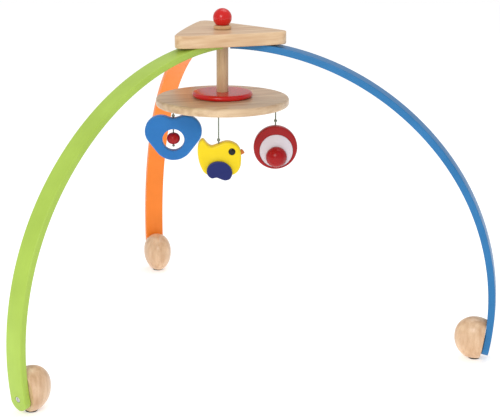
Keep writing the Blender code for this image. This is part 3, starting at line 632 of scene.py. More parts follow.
# %% Leg curve
LEG_WIDTH = 0.0256
LEG_THICK = 0.0088
LEG_START = 0.0125
ARC_START = 0.013
UPPER_RADIUS = 0.34625
LOWER_RADIUS = 0.314
BLEND_ANGLE = 38.0
TUCK_ANGLE = 12.0
LEG_TOP = 0.3962
GAP = 0.0003
LEG_ANGLES = {"orange": 90.0, "green": 210.0, "blue": 330.0}
PLATE_BASE = float(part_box("top_plate")[0][2])


def at_leg(points, angle):
    """Points of a leg's own plane, turned to its bearing in degrees about the axis."""
    return placed(points, GROUND, np.radians(angle))


def leg_curve(angle):
    """Outer-face point and outward normal at an elevation: an upper circle, then a lower one that meets it
    with the same direction at the blend angle."""
    angle = np.asarray(angle, dtype=float)
    normal = np.stack([np.cos(np.radians(angle)), np.sin(np.radians(angle))], axis=-1)
    upper_centre = np.array([ARC_START, LEG_TOP - UPPER_RADIUS])
    blend = np.array([np.cos(np.radians(BLEND_ANGLE)), np.sin(np.radians(BLEND_ANGLE))])
    lower_centre = upper_centre + (UPPER_RADIUS - LOWER_RADIUS) * blend
    high = (angle > BLEND_ANGLE)[..., None]
    return np.where(high, upper_centre + UPPER_RADIUS * normal, lower_centre + LOWER_RADIUS * normal), normal


def from_plate(angles, start):
    """Points and normals of the curve, after a level start under the plate."""
    points, normals = leg_curve(angles)
    return np.vstack([[[start, LEG_TOP]], points]), np.vstack([[[0.0, 1.0]], normals])


print("strip's outermost point:", leg_curve(0.0)[0].round(4).tolist())


# %% [markdown]
# ## Bending the strips
# A curve with a bevel object would sweep a section as well, but not with a nose that narrows and a value for
# each veneer. So the section is carried along the curve row by row, as one array.

# %% Leg strips
LEG_EDGE = 0.0014


def leg_section(half_width, count=7):
    """Rectangle with soft corners: (side, depth) points for one half width, anticlockwise."""
    soft = np.minimum(LEG_EDGE, half_width * 0.45)
    wide, low, high = half_width - soft, -soft, soft - LEG_THICK
    spots = ((wide, low, 0), (-wide, low, 90), (-wide, high, 180), (wide, high, 270))
    corners = [arc((x, y), soft, start, start + 90, count) for x, y, start in spots]
    return np.concatenate(corners) * (1, -1)


def sweep(points, normals, side, depth):
    """Section points carried along a curve: back along its normal by the depth, sideways by the side."""
    side = np.broadcast_to(side, (len(points), side.shape[-1]))
    return capped(np.stack([points[:, :1] - normals[:, :1] * depth, side,
                            points[:, 1:] - normals[:, 1:] * depth], axis=-1))


def leg_piece(name, angle):
    """The swept strip. The nose's half width follows a half circle."""
    half = LEG_WIDTH / 2
    stop = np.degrees(half / LOWER_RADIUS)
    last = TUCK_ANGLE - stop
    nose = np.sin(np.linspace(0.0, np.pi / 2, 18))[1:]
    nose[-1] = 0.9985
    angles = np.concatenate([np.linspace(90.0, BLEND_ANGLE + 0.01, 90), np.linspace(BLEND_ANGLE, -last, 48),
                             -last - stop * nose])
    widths = np.concatenate([np.full(139, half), half * np.sqrt(1 - nose ** 2) + 0.0003])
    points, normals = from_plate(angles, LEG_START)
    section = np.stack([leg_section(w) for w in widths])
    side, depth = section[..., 0], section[..., 1]
    length = np.concatenate([[0.0], np.cumsum(np.linalg.norm(np.diff(points, axis=0), axis=1))])
    length = np.concatenate([[0.0], length, length[-1:]])[:, None]
    ply = np.vstack([depth[:1], depth, depth[-1:]]) / LEG_THICK
    sides = np.vstack([side[:1], side, side[-1:]])
    flank = np.clip((np.abs(sides) - half + 0.0012) / 0.001, 0.0, 1.0)
    rim = np.exp(-(np.minimum(ply, 1 - ply) * LEG_THICK / 0.001) ** 2) * flank
    grid = at_leg(sweep(points, normals, side, depth), angle)
    return surface(name, grid, wrap_columns=True, uv=(sides + ply * LEG_THICK, length),
                   values={"rim": rim, "ply": ply, "flank": flank})


# %% [markdown]
# ## Screw holes
# Two screws go up through each strip into the plate, and one goes through its lower end into the foot. The
# strips, the plate and the feet all get their holes from the same places, so the screws fit in all of them.

# %% Screw holes
LEG_SCREW_RADII = (0.03, 0.05)
FOOT_SCREW_Z = 0.019


def holes_for(piece, screws):
    """Carve the hole of each screw, given as (node, axis, start, length)."""
    cutters = []
    for node, axis, start, length in screws:
        profile = [(0.0, -0.004), (0.004, -0.004), (0.004, 0.0004), (0.002, 0.0027), (0.002, length),
                   (0.0, length)]
        cutters.append(turned("hole_" + node, profile, start, axis, count=32))
    return carve(piece, *cutters)


def leg_screws(colour_name, angle):
    """Places of a leg's two plate screws: each head lies a little under the strip's inner face."""
    found = []
    for number, reach in enumerate(LEG_SCREW_RADII, start=1):
        point, normal = leg_curve(np.degrees(np.arccos((reach - ARC_START) / UPPER_RADIUS)))
        start = at_leg((reach, 0.0, point[1] - LEG_THICK / normal[1] + 0.0003), angle)
        found.append((f"leg_screw_{colour_name}_{number}", (0.0, 0.0, 1.0), start, 0.0196))
    return found


def foot_screw(colour_name, angle):
    """Place of the screw that runs through the strip into the foot, square to the strip."""
    lower_centre = LEG_TOP - UPPER_RADIUS
    lower_centre += (UPPER_RADIUS - LOWER_RADIUS) * np.sin(np.radians(BLEND_ANGLE))
    point, normal = leg_curve(np.degrees(np.arcsin((FOOT_SCREW_Z - lower_centre) / LOWER_RADIUS)))
    start = at_leg((point[0], 0.0, point[1]), angle)
    inward = placed((-normal[0], 0.0, -normal[1]), turn=np.radians(angle))
    return ("foot_screw_" + colour_name, inward, start, 0.0246)


for leg_name, leg_angle in LEG_ANGLES.items():
    leg = leg_piece(f"strip_{leg_name}", leg_angle)
    holes_for(leg, [*leg_screws(leg_name, leg_angle), foot_screw(leg_name, leg_angle)])
    settle(leg, "frame", leg_name + "_paint", strip_paint[leg_name], "leg_" + leg_name)


# %% [markdown]
# ## Feet and pads
# A foot is a beech pebble, longer along the leg than across it. It leans a little with the strip, and it is
# sawn flat where it stands and where it meets the strip. The pebble is worked out whole, and then every point
# past one of those two surfaces is brought back on to it, which leaves a crisp flat.

# %% Feet
FOOT_REACH = 0.329
FOOT_RADIUS = 0.0266
FOOT_SQUEEZE = 0.74
FOOT_BASE = 0.0021
FOOT_WAIST = 0.0295
FOOT_UP = 0.025
FOOT_DOWN = 0.0305
FOOT_LEAN = np.radians(6.0)
FOOT_BLUNT = 0.94
FOOT_TAPER = 1.08


def foot_piece(name, angle):
    """Pebble: radius = widest times cos(t) to a power, height = length times sin(t) to a power, squeezed on
    two sides, leaned, then brought back to the ground plane and to the strip's inner circle."""
    t = np.linspace(-np.pi / 2, np.pi / 2, 141)[:, None]
    turn = np.linspace(0.0, 2 * np.pi, 144, endpoint=False)[None, :]
    radius = FOOT_RADIUS * np.maximum(np.cos(t), 0.0) ** np.where(t < 0, FOOT_TAPER, FOOT_BLUNT)
    radius[[0, -1]] = 0.0
    height = np.sign(t) * np.where(t < 0, FOOT_DOWN, FOOT_UP) * np.abs(np.sin(t)) ** FOOT_BLUNT
    x, y, z = radius * np.cos(turn), FOOT_SQUEEZE * radius * np.sin(turn), height + 0.0 * turn
    reach = FOOT_REACH + x * np.cos(FOOT_LEAN) + z * np.sin(FOOT_LEAN)
    level = FOOT_WAIST - x * np.sin(FOOT_LEAN) + z * np.cos(FOOT_LEAN)
    level = np.maximum(level, FOOT_BASE)
    centre = leg_curve(0.0)[0] - np.array([LOWER_RADIUS, 0.0])
    away = np.hypot(reach - centre[0], level - centre[1])
    pull = np.minimum(1.0, (LOWER_RADIUS - LEG_THICK - GAP) / away)
    reach = centre[0] + (reach - centre[0]) * pull
    level = centre[1] + (level - centre[1]) * pull
    level = np.maximum(level, FOOT_BASE)
    grid = at_leg(np.stack([reach, y, level], axis=-1), angle)
    return surface(name, grid, wrap_columns=True, sharp=35.0, uv=(turn * FOOT_RADIUS, t * FOOT_UP))


PAD_REACH = 0.3282
PAD_RADIUS = 0.0072
PAD_THICK = 0.0018
pad_profile = rounded_profile(PAD_RADIUS, 0.0, PAD_THICK, 0.0004, 5)
for leg_name, leg_angle in LEG_ANGLES.items():
    foot = foot_piece(f"pebble_{leg_name}", leg_angle)
    holes_for(foot, [foot_screw(leg_name, leg_angle)])
    settle(foot, "frame", "foot_wood", foot_wood, "foot_" + leg_name)
    pad = turned(f"rubber_disc_{leg_name}", pad_profile, at_leg((PAD_REACH, 0.0, 0.0), leg_angle))
    settle(pad, "frame", "rubber_pad", rubber, "pad_" + leg_name)


# %% [markdown]
# ## Top plate
# A triangle of solid beech with round corners and slightly bowed sides, one corner over each leg. Its edges
# are softened with a small round, and the dowel runs in a bore through its middle. Three shallow grooves
# underneath take the ends of the strips.

# %% Plate
PLATE_THICK = 0.016
PLATE_REACH = 0.081
PLATE_CORNER = 0.01
PLATE_BOW = 0.0025
PLATE_SOFT = 0.0016
DOWEL_BORE = 0.0079


def plate_outline():
    """Three corner arcs joined by sides that bulge by a parabola, spread evenly along their length."""
    corner_reach = PLATE_REACH - PLATE_CORNER
    parts = []
    for middle_angle in LEG_ANGLES.values():
        a = np.radians(middle_angle)
        parts.append(arc((corner_reach * np.cos(a), corner_reach * np.sin(a)), PLATE_CORNER,
                         middle_angle - 54.0, middle_angle + 54.0, 24))
        f = np.radians(middle_angle + 60.0)
        t = np.linspace(-0.8, 0.8, 32)[:, None]
        out = corner_reach * 0.5 + PLATE_CORNER + PLATE_BOW * (1 - (t * 0.9) ** 2)
        reach = t * corner_reach * np.sqrt(0.75)
        parts.append(out * np.array([np.cos(f), np.sin(f)]) + reach * np.array([-np.sin(f), np.cos(f)]))
    return resample(np.concatenate(parts), 360)


def groove(name, angle):
    """Box section, a gap wider than the strip, carried along the first part of the strip's curve."""
    points, normals = from_plate(np.linspace(90.0, 62.0, 30), LEG_START - GAP)
    side = (LEG_WIDTH / 2 + GAP) * np.array([1.0, -1.0, -1.0, 1.0])
    depth = np.array([-GAP, -GAP, 0.03, 0.03])
    return surface(name, at_leg(sweep(points, normals, side, depth), angle), wrap_columns=True)


plate_top = PLATE_BASE + PLATE_THICK
plate = sanded_slab("corner_plate", plate_outline(), PLATE_THICK / 2, PLATE_SOFT, (0.0, 0.0), crown=0.0001,
                    hole=DOWEL_BORE, origin=(*AXIS, (PLATE_BASE + plate_top) / 2), upright=False, rings=12)
carve(plate, *(groove("groove_" + key, angle) for key, angle in LEG_ANGLES.items()))
holes_for(plate, [screw for key, angle in LEG_ANGLES.items() for screw in leg_screws(key, angle)])
settle(plate, "frame", "plate_wood", plate_wood, "top_plate")


# %% [markdown]
# ## Spindle: knob, collar, dowel and two discs
# The parts that turn together. The ball and the collar sit on a thinner spigot of the dowel, the red hub disc
# lies on the carousel disc, and the dowel ends in a pocket there. Each is a turned profile.

# %% Spindle pieces
DOWEL_RADIUS = 0.0075
SPIGOT_RADIUS = 0.004
BALL_RADIUS = 0.0118
BALL_CENTRE = 0.4242
COLLAR_RADIUS = 0.011
DISC_TOP = 0.324
DISC_THICK = 0.0104
DISC_RADIUS = 0.084
HUB_RADIUS = 0.038
HUB_THICK = 0.0067

dowel_low, dowel_high = (float(corner[2]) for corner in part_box("spindle_dowel"))
shoulder = plate_top - GAP
dowel_profile = [(0, dowel_low), (DOWEL_RADIUS - 0.0006, dowel_low), (DOWEL_RADIUS, dowel_low + 0.0006),
                 (DOWEL_RADIUS, shoulder - 0.0005), (DOWEL_RADIUS - 0.0005, shoulder),
                 (SPIGOT_RADIUS, shoulder), (SPIGOT_RADIUS, dowel_high), (0, dowel_high)]
dowel = turned("turning_dowel", dowel_profile, GROUND)
screw_low = float(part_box("spindle_screw")[0][2])
holes_for(dowel, [("dowel", (0.0, 0.0, 1.0), (*AXIS, screw_low), 0.0236)])
settle(dowel, "spindle", "dowel_wood", dowel_wood, "spindle_dowel")


# %% [markdown]
# ## Knob
# A low collar and a ball slide on to the spigot and are glued. The ball is cut off flat where it sits on the
# collar, so the two don't touch along a mere line.

# %% Collar and ball
collar_low, collar_high = (float(corner[2]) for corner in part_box("knob_collar"))
bore = SPIGOT_RADIUS + GAP
collar_profile = np.vstack([[[bore, collar_low]],
                            arc((COLLAR_RADIUS - 0.0008, collar_low + 0.0008), 0.0008, -90, 0, 6),
                            arc((COLLAR_RADIUS - 0.0014, collar_high - 0.0014), 0.0014, 0, 90, 8),
                            [[bore, collar_high]]])
collar = turned("cup_collar", collar_profile, GROUND, closed=True)
settle(collar, "spindle", "knob_wood", knob_wood, "knob_collar")

ball_low = collar_high + GAP
seat_angle = -np.degrees(np.arcsin((BALL_CENTRE - ball_low) / BALL_RADIUS))
ball_outer = arc((0.0, BALL_CENTRE), BALL_RADIUS, seat_angle, 90.0, 48)
ball_outer[-1, 0] = 0.0
socket = dowel_high + GAP
ball_profile = np.vstack([[[0, socket], [bore, socket], [bore, ball_low]], ball_outer])
ball = turned("knob_sphere", ball_profile, GROUND)
settle(ball, "spindle", "red_paint", red_gloss, "knob_ball")


# %% [markdown]
# ## Hub
# The red hub disc has a rim that is a full half circle, so it catches one long highlight.

# %% Hub disc
hub_low = DISC_TOP + GAP
bull = HUB_THICK / 2
hub_bore = DOWEL_RADIUS + GAP
hub_profile = np.vstack([[[hub_bore, hub_low], [hub_bore + 0.012, hub_low]],
                         arc((HUB_RADIUS - bull, hub_low + bull), bull, -90.0, 90.0, 22),
                         [[hub_bore + 0.012, hub_low + HUB_THICK], [hub_bore, hub_low + HUB_THICK]]])
hub = turned("hub_wheel", hub_profile, GROUND, closed=True, count=160)
settle(hub, "spindle", "red_paint", red_gloss, "hub_disc")


# %% [markdown]
# ## Carousel disc
# A plain round board with soft edges. The dowel stands in a pocket, a screw holds it from below, and each
# cord is glued into a blind hole whose mouth flares, so that the cord can swing without rubbing.

# %% Carousel
PIVOT_Z = DISC_TOP - 0.0038
CORD_HOLE_TOP = DISC_TOP - 0.0008
CORD_RADIUS = 0.0009
FLARE = np.radians(30.0)
disc_base = DISC_TOP - DISC_THICK
disc_profile = rounded_profile(DISC_RADIUS, disc_base, DISC_TOP, 0.003, 10)
worn = np.zeros(len(disc_profile))
worn[3:-3] = 0.7
disc = turned("carousel_board", disc_profile, GROUND, count=200, rim=worn)
neck = CORD_RADIUS + GAP
flare_low = disc_base - 0.002
mouth = neck + (PIVOT_Z + 0.0008 - flare_low) * np.tan(FLARE)
hang_points = {toy: middle(toy + "_cord_end") * (1, 1, 0) for toy in ("heart", "bird", "ring")}
cord_hole = [(0, flare_low), (mouth, flare_low), (neck, PIVOT_Z + 0.0008), (neck, CORD_HOLE_TOP),
             (0, CORD_HOLE_TOP)]
cutters = [turned("cord_hole", cord_hole, spot, count=40) for spot in hang_points.values()]
pocket_floor = dowel_low - GAP
cutters.append(drill("pocket", hub_bore, pocket_floor, DISC_TOP + 0.004, GROUND, count=64))
sink = [(0, disc_base - 0.004), (0.0046, disc_base - 0.004), (0.0046, disc_base + 0.0009),
        (0.0022, disc_base + 0.0034), (0.0022, DISC_TOP), (0, DISC_TOP)]
cutters.append(turned("screw", sink, GROUND, count=40))
settle(carve(disc, *cutters), "spindle", "disc_wood", disc_wood, "carousel_disc")


# %% [markdown]
# ## Cords and knots
# Each toy hangs on cotton cord 1.8 mm thick. A cord is a tube whose radius rises over three strands that wind
# round it. Knots are small balls with the same strands lapped across them, and a tail where the end of the
# cord goes into the wood.

# %% Cord and knot shapes
TIE_KNOT_RADIUS = 0.0021
END_KNOT_RADIUS = 0.0017
STRAND_PITCH = 0.0052


def cord_piece(name, spot, top, bottom):
    """Radius = cord radius times a wave with three crests round the cord that turn once every pitch."""
    rows = int((top - bottom) / 0.00025)
    z = np.linspace(top, bottom, rows)
    t = np.linspace(0.0, 2 * np.pi, 30, endpoint=False)[None, :]
    groove = np.abs(np.cos(1.5 * (t - 2 * np.pi * z[:, None] / STRAND_PITCH)))
    radius = CORD_RADIUS * (0.84 + 0.2 * groove)
    grid = np.stack([spot[0] + radius * np.cos(t), spot[1] + radius * np.sin(t),
                     np.broadcast_to(z[:, None], radius.shape)], axis=-1)
    rim = np.vstack([groove[:1], groove, groove[-1:]])
    # rim is 1 in the grooves between the strands, where the cord finish paints shade
    piece = surface(name, capped(grid), wrap_columns=True, values={"rim": 1.0 - rim},
                    uv=(t * CORD_RADIUS, np.concatenate([[top], z, [bottom]])[:, None]))
    return piece, [(*spot[:2], float(height)) for height in np.linspace(top, bottom, 12)]


def knot_piece(name, centre, radius, tail=0.0):
    """A ball whose radius waves along slanting lines, flat at its poles, over a straight tail."""
    start = -90.0 if tail == 0.0 else -np.degrees(np.arccos(CORD_RADIUS / radius))
    ball = arc((0.0, 0.0), radius, start, 90.0, 28)
    ball[-1, 0] = 0.0
    if tail == 0.0:
        ball[0, 0] = 0.0
    else:
        ball = np.vstack([[[0.0, -tail], [CORD_RADIUS, -tail]], ball])
    t = np.linspace(0.0, 2 * np.pi, 36, endpoint=False)[None, :]
    lift = np.arctan2(ball[:, 1], np.maximum(ball[:, 0], 1e-6))[:, None]
    inside = (np.hypot(ball[:, 0], ball[:, 1]) < radius * 1.01)[:, None]
    groove = np.abs(np.cos(1.5 * t + 3.5 * lift)) * np.cos(lift) ** 0.5
    swell = np.where(inside, 0.93 + 0.13 * groove, 1.0)
    grid = np.stack([centre[0] + ball[:, 0][:, None] * swell * np.cos(t),
                     centre[1] + ball[:, 0][:, None] * swell * np.sin(t),
                     np.broadcast_to(centre[2] + ball[:, 1][:, None], (len(ball), t.size))], axis=-1)
    # rim is 1 in the grooves between the strands and at the poles, where the cord finish paints shade
    rim = np.where(inside, 1.0 - groove, 0.0)
    return surface(name, grid, wrap_columns=True, values={"rim": rim}, sharp=60.0)


# %% [markdown]
# ## Hanging the toys
# Each cord swings at a point inside the disc. Above that point its glued end stays with the disc, and below
# it the cord runs to a tie knot, whose tail goes down into the toy.

# %% Hang the toys
KNOT_Z = {"heart": 0.2912, "bird": 0.285, "ring": 0.2862}
CORD_BOTTOM = {"heart": 0.2906, "bird": 0.285, "ring": 0.2862}
TAILS = {"heart": 0.0, "bird": 0.01, "ring": 0.0103}
CORD_TOP = PIVOT_Z + 0.0008
GLUED_LOW = PIVOT_Z + 0.0014
for toy, spot in hang_points.items():
    glued, _ = cord_piece(toy + "_glued_end", spot, CORD_HOLE_TOP - GAP, GLUED_LOW)
    settle(glued, "spindle", "cord_fibre", cord_fibre, toy + "_cord_end")
    tie = knot_piece(toy + "_tie", (*spot[:2], KNOT_Z[toy]), TIE_KNOT_RADIUS, TAILS[toy])
    settle(tie, toy + "_tie", "cord_fibre", cord_fibre, toy + "_knot")
    line, path = cord_piece(toy + "_hanger", spot, CORD_TOP, CORD_BOTTOM[toy])
    settle(line, toy + "_string", "cord_fibre", cord_fibre, toy + "_cord")


# %% [markdown]
# ## Heart with a bead
# The heart is sawn from 12 mm board, with a round window cut through it. Two lobe circles, a round base and
# straight flanks make its outline. The bead hangs in the window on its own short cord with a knot below.

# %% Heart
TOY_TURN = np.radians(-17.0)
HEART_CENTRE = 0.26
HEART_HALF = 0.006
HEART_SOFT = 0.0022
LOBE = (0.016, 0.011, 0.021)
HEART_BASE_RADIUS = 0.027
HEART_NOTCH = 0.0285
HEART_WINDOW = 0.0142


def heart_outline():
    """Arcs of the lobe circles, the notch circle that touches both, and the base circle."""
    side, up, lobe = LOBE
    flank = np.degrees(np.arctan2(up, side) - np.arccos((HEART_BASE_RADIUS - lobe) / np.hypot(side, up)))
    rise = HEART_NOTCH - up
    notch = (side ** 2 + rise ** 2 - lobe ** 2) / (2 * (lobe - rise))
    meet = np.degrees(np.arctan2(HEART_NOTCH + notch - up, -side))
    right = arc((side, up), lobe, flank, meet, 90)
    dip = arc((0.0, HEART_NOTCH + notch), notch, meet - 180.0, -meet, 24)[1:-1]
    left = right[::-1] * np.array([-1.0, 1.0])
    base = arc((0.0, 0.0), HEART_BASE_RADIUS, 180.0 - flank, 360.0 + flank, 80)[1:-1]
    return resample(np.vstack([right, dip, left, base]), 420)


heart_spot = hang_points["heart"]
heart_shape = heart_outline() + np.array([0.0, HEART_CENTRE])
heart = sanded_slab("heart_board", heart_shape, HEART_HALF, HEART_SOFT, (0.0, HEART_CENTRE), crown=0.00015,
                    hole=HEART_WINDOW, origin=heart_spot, turn=TOY_TURN, rings=6)
window_top = HEART_CENTRE + HEART_WINDOW
carve(heart, drill("heart_bore", neck, window_top - 0.004, HEART_CENTRE + 0.034, heart_spot, count=28))
settle(heart, "heart", "heart_paint", heart_blue, "heart_body")


# %% [markdown]
# ## Bead on its cord
# The bead is an egg shape on a straight bore. Its cord starts in the tie knot above the heart, runs down the
# heart's bore and through the bead, and ends in a knot that holds the bead up.

# %% Bead, its cord and end knot
BEAD_CENTRE = 0.2612
BEAD_HALF = 0.0074
BEAD_RADIUS = 0.0087
bead_t = np.radians(np.linspace(-90.0, 90.0, 40))
bead_outer = np.stack([neck + 0.0004 + (BEAD_RADIUS - neck - 0.0004) * np.cos(bead_t),
                       BEAD_CENTRE + BEAD_HALF * np.sin(bead_t)], axis=1)
bead_profile = np.vstack([[[neck, BEAD_CENTRE - BEAD_HALF + 0.0003]], bead_outer,
                          [[neck, BEAD_CENTRE + BEAD_HALF - 0.0003]]])
bead = turned("red_bead", bead_profile, heart_spot, closed=True, count=64)
settle(bead, "bead", "red_paint", toy_red, "heart_bead")

end_centre = float(middle("heart_end_knot")[2])
end_knot = knot_piece("bead_stopper", (*heart_spot[:2], end_centre), END_KNOT_RADIUS)
settle(end_knot, "heart", "cord_fibre", cord_fibre, "heart_end_knot")
bead_line, bead_path = cord_piece("bead_hanger", heart_spot, KNOT_Z["heart"], end_centre)
settle(bead_line, "heart", "cord_fibre", cord_fibre, "heart_bead_cord")


# %% [markdown]
# ## Bird
# A yellow bird sawn from 16 mm board, with a thinner navy wing glued to each side, a round black eye in a
# shallow pit, and a turned beak let into the front.

# %% Bird
FACES = ((-1.0, "front"), (1.0, "back"))
BIRD_HALF = 0.008
WING_THICK = 0.005
EYE_PLACE = (0.0162, 0.2718)
EYE_RADIUS = 0.0041
PIT_DEPTH = 0.0012
BEAK_PLACE = (0.0268, 0.27)
BEAK_TILT = np.radians(102.0)
BIRD_POINTS = [
    (-0.0186, 0.2862), (-0.0135, 0.2805), (-0.0083, 0.2778), (-0.001, 0.28), (0.0065, 0.283),
    (0.014, 0.2832), (0.0225, 0.2792), (0.0268, 0.272), (0.0276, 0.262), (0.0262, 0.2515),
    (0.02, 0.2435), (0.008, 0.2408), (-0.007, 0.2408), (-0.017, 0.2445), (-0.0225, 0.254),
    (-0.0252, 0.265), (-0.0256, 0.2755), (-0.0232, 0.2835)]
WING_POINTS = [
    (0.001, 0.2604), (0.0085, 0.2585), (0.0145, 0.253), (0.0166, 0.2455), (0.014, 0.2388),
    (0.008, 0.2368), (0.002, 0.2385), (-0.0025, 0.2402), (-0.0085, 0.2394), (-0.0132, 0.243),
    (-0.0146, 0.2485), (-0.0125, 0.255), (-0.0065, 0.2594)]


def anticlockwise(outline):
    """The outline in the order that outward() needs, by the sign of its area."""
    x, z = outline.T
    area = (x * np.roll(z, -1) - np.roll(x, -1) * z).sum()
    return outline if area > 0 else outline[::-1]


def toy_point(spot, sideways, depth, up):
    """A point of a toy's own frame in the shared frame."""
    return placed((sideways, depth, up), spot, TOY_TURN)


def toy_direction(sideways, depth, up):
    """A direction of a toy's own frame in the shared frame."""
    return placed((sideways, depth, up), turn=TOY_TURN)


print("bird points:", len(BIRD_POINTS), "wing points:", len(WING_POINTS))


# %% [markdown]
# ## Bird's body
# The body's outline is a smooth line through a few points, spread evenly and then sanded like the heart. Its
# bore, the eyes' pits and the beak's socket are carved in one go.

# %% Bird body
bird_spot = hang_points["bird"]
bird_shape = resample(anticlockwise(smooth_loop(BIRD_POINTS)), 400)
bird = sanded_slab("bird_board", bird_shape, BIRD_HALF, 0.003, (0.0, 0.262),
                   origin=bird_spot, turn=TOY_TURN, rings=12)
bird_cutters = [drill("bird_bore", neck, KNOT_Z["bird"] - 0.0105, KNOT_Z["bird"] + 0.004,
                      bird_spot, count=28)]
pit = EYE_RADIUS + GAP
for sign, _ in FACES:
    seat = toy_point(bird_spot, EYE_PLACE[0], sign * (BIRD_HALF - PIT_DEPTH), EYE_PLACE[1])
    bird_cutters.append(drill("eye_pit", pit, -GAP, 0.004, seat, toy_direction(0.0, sign, 0.0)))
beak_axis = toy_direction(np.sin(BEAK_TILT), 0.0, np.cos(BEAK_TILT))
beak_spot = toy_point(bird_spot, BEAK_PLACE[0], 0.0, BEAK_PLACE[1])
beak_pit = [(0, -0.005), (0.0019, -0.005), (0.0019, -0.0009), (0.004, -0.0007), (0.004, 0.006),
            (0, 0.006)]
bird_cutters.append(turned("beak_pit", beak_pit, beak_spot, beak_axis, count=40))
settle(carve(bird, *bird_cutters), "bird", "yellow_paint", bird_yellow, "bird_body")


# %% [markdown]
# ## Beak, wings and eyes
# The beak is a peg with a blunt tip. The wings and eyes are made once for each side, from the same outline
# and profile, because the toy is seen from all round as it turns.

# %% Bird details
beak_tip = smooth_loop([(0.0036, 0.0000), (0.0033, 0.0018), (0.0018, 0.0038), (0.0006, 0.0048)], 6)[:19]
beak_profile = np.vstack([[[0, -0.0045], [0.0016, -0.0045], [0.0016, -0.0004], [0.0036, -0.0002]],
                          beak_tip, [[0, 0.005]]])
beak = turned("peg_beak", beak_profile, beak_spot, beak_axis, count=40)
settle(beak, "bird", "beak_paint", beak_brown, "bird_beak")

lid_t = np.radians(np.linspace(0.0, 90.0, 14))
eye_dome = np.stack([EYE_RADIUS * np.cos(lid_t), PIT_DEPTH * (1 + np.sin(lid_t))], axis=1)
eye_dome[-1, 0] = 0.0
eye_profile = np.vstack([[[0, 0], [EYE_RADIUS, 0]], eye_dome])
wing_shape = resample(anticlockwise(smooth_loop(WING_POINTS)), 260)
for sign, side_name in FACES:
    offset = sign * (BIRD_HALF + GAP + WING_THICK / 2)
    wing = sanded_slab("wing_board_" + side_name, wing_shape, WING_THICK / 2, 0.0014, (0.001, 0.249),
                       origin=toy_point(bird_spot, 0.0, offset, 0.0), turn=TOY_TURN, rings=8)
    settle(wing, "bird", "navy_paint", wing_navy, "bird_wing_" + side_name)
    seat = toy_point(bird_spot, EYE_PLACE[0], sign * (BIRD_HALF - PIT_DEPTH), EYE_PLACE[1])
    eye = turned("eye_button_" + side_name, eye_profile, seat, toy_direction(0.0, sign, 0.0), count=48)
    settle(eye, "bird", "eye_black", enamel, "bird_eye_" + side_name)


# %% [markdown]
# ## Ring with an inlay and a half ball
# A round red board. Each face has an off-centre recess with a pale glossy inlay, and half a red ball is glued
# on the inlay near its lower edge.

# %% Ring
RING_CENTRE = 0.2515
RING_RADIUS = 0.0284
RING_HALF = 0.0055
INLAY_CENTRE = (0.001, 0.2472)
INLAY_RADIUS = 0.0215
INLAY_THICK = 0.002
RECESS = 0.0026
DOME_CENTRE = (0.0012, 0.2395)
DOME_RADIUS = 0.0136
DOME_RISE = 0.92

ring_spot = hang_points["ring"]
ring_profile = rounded_profile(RING_RADIUS, -RING_HALF, RING_HALF, 0.002, 10)
ring_profile = np.vstack([ring_profile[:1], [[0.023, -RING_HALF]], ring_profile[1:-1], [[0.023, RING_HALF]],
                          ring_profile[-1:]])
ring_worn = np.zeros(len(ring_profile))
ring_worn[4:-4] = 0.6
ring = turned("ring_board", ring_profile, toy_point(ring_spot, 0.0, 0.0, RING_CENTRE),
              toy_direction(0.0, 1.0, 0.0), count=180, rim=ring_worn)
recess_radius = INLAY_RADIUS + GAP
ring_top = RING_CENTRE + RING_RADIUS
ring_cutters = [drill("ring_bore", neck, ring_top - 0.0046, ring_top + 0.003, ring_spot, count=28)]
for sign, _ in FACES:
    floor_spot = toy_point(ring_spot, INLAY_CENTRE[0], sign * (RING_HALF - RECESS), INLAY_CENTRE[1])
    ring_cutters.append(drill("recess", recess_radius, 0.0, 0.006, floor_spot,
                              toy_direction(0.0, sign, 0.0), count=144))
settle(carve(ring, *ring_cutters), "ring", "red_paint", toy_red, "ring_body")


# %% [markdown]
# ## Inlays and half balls
# Both are turned about an axis square to the face. Each half ball stands on its inlay on a short straight
# foot, which leaves the thin shadow line of a glued part.

# %% Inlays and half balls
inlay_profile = rounded_profile(INLAY_RADIUS, GAP, GAP + INLAY_THICK, 0.0003, 5)
dome_foot = 2 * GAP + INLAY_THICK
dome_t = np.radians(np.linspace(0.0, 90.0, 32))
dome_outer = np.stack([DOME_RADIUS * np.cos(dome_t),
                       dome_foot + 0.0005 + DOME_RADIUS * DOME_RISE * np.sin(dome_t)], axis=1)
dome_outer[-1, 0] = 0.0
dome_profile = np.vstack([[[0, dome_foot], [DOME_RADIUS * 0.985, dome_foot]], dome_outer])
for sign, side_name in FACES:
    outwards = toy_direction(0.0, sign, 0.0)
    floor_spot = toy_point(ring_spot, INLAY_CENTRE[0], sign * (RING_HALF - RECESS), INLAY_CENTRE[1])
    inlay = turned("pale_inlay_" + side_name, inlay_profile, floor_spot, outwards, count=144)
    settle(inlay, "ring", "white_paint", inlay_white, "ring_inlay_" + side_name)
    dome_spot = toy_point(ring_spot, DOME_CENTRE[0], sign * (RING_HALF - RECESS), DOME_CENTRE[1])
    dome = turned("half_ball_" + side_name, dome_profile, dome_spot, outwards, count=96)
    settle(dome, "ring", "red_paint", toy_red, "ring_dome_" + side_name)


# %% [markdown]
# ## Screws
# The countersunk screws stay as the model made them and only get their metal.

# %% Screw metal
for node_name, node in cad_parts.items():
    if "screw" in node_name:
        node.data.materials.clear()
        node.data.materials.append(steel)
print("steel screws:", sum("screw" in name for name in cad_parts))


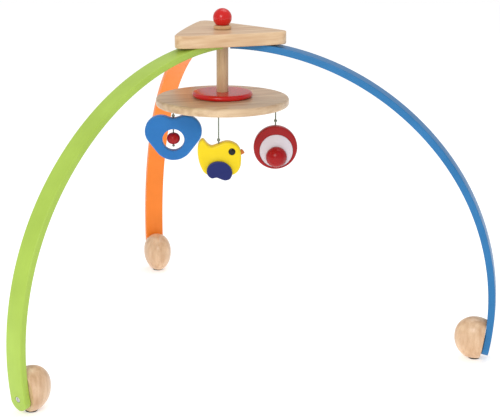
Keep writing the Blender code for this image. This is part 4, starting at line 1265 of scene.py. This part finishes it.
# %% [markdown]
# ## Floor and light
# A wide pale floor under a bright even sky, one big soft lamp in front and one above. The floor glows a
# little, as a lit table does, so that it stays pale right to the edge.

# %% Floor and sky
FLOOR_GLOW = 0.42
FLOOR_SIZE = 14.0
FLOOR_LEVEL = -0.0002
SKY = 0.62


def floor_finish():
    """Pale paper with a slow change of tone and a slight glow."""
    f = Finish("floor_finish", 0.9, specular=0.1)
    tone = f.noise(f.coordinates, 3.0, detail=2.0)
    f.set(f.shader, {"Base Color": f.blend(tone, (0.86, 0.86, 0.86, 1.0), (0.9, 0.9, 0.9, 1.0)),
                     "Emission Color": (1.0, 1.0, 1.0, 1.0), "Emission Strength": FLOOR_GLOW})
    return f.material


corner = FLOOR_SIZE * np.array([[-1, -1], [1, -1], [1, 1], [-1, 1]])
floor_mesh = bpy.data.meshes.new("floor")
floor_mesh.from_pydata([(x, y, FLOOR_LEVEL) for x, y in corner], [], [(0, 1, 2, 3)])
floor_mesh.materials.append(floor_finish())
linked("floor", floor_mesh)

world = bpy.data.worlds.new("sky")
world.use_nodes = True
background = world.node_tree.nodes["Background"]
background.inputs["Color"].default_value = (1.0, 1.0, 1.0, 1.0)
background.inputs["Strength"].default_value = SKY
bpy.context.scene.world = world


print("floor is", FLOOR_SIZE * 2, "m wide")


# %% [markdown]
# ## Lamps
# The front lamp stands high on the left and gives the forms their light side. The top lamp opens the shadows
# under the plate. Both are large and far off, so that shadows stay soft.

# %% Lamps
def lamp(name, place, target, size, power):
    """A square soft lamp that faces a point."""
    light = linked(name, bpy.data.lights.new(name, "AREA"))
    light.data.size = size
    light.data.energy = power
    light.location = place
    light.rotation_euler = (Vector(target) - Vector(place)).to_track_quat("-Z", "Y").to_euler()
    return light


lamp("front_lamp", (-1.5, -2.2, 1.5), (0.0, 0.0, 0.25), 1.2, 26.0)
lamp("top_lamp", (0.6, 0.4, 2.4), (0.0, 0.0, 0.2), 1.5, 14.0)
bpy.context.scene.view_settings.view_transform = "Standard"


# %% Update the scene
bpy.context.view_layer.update()
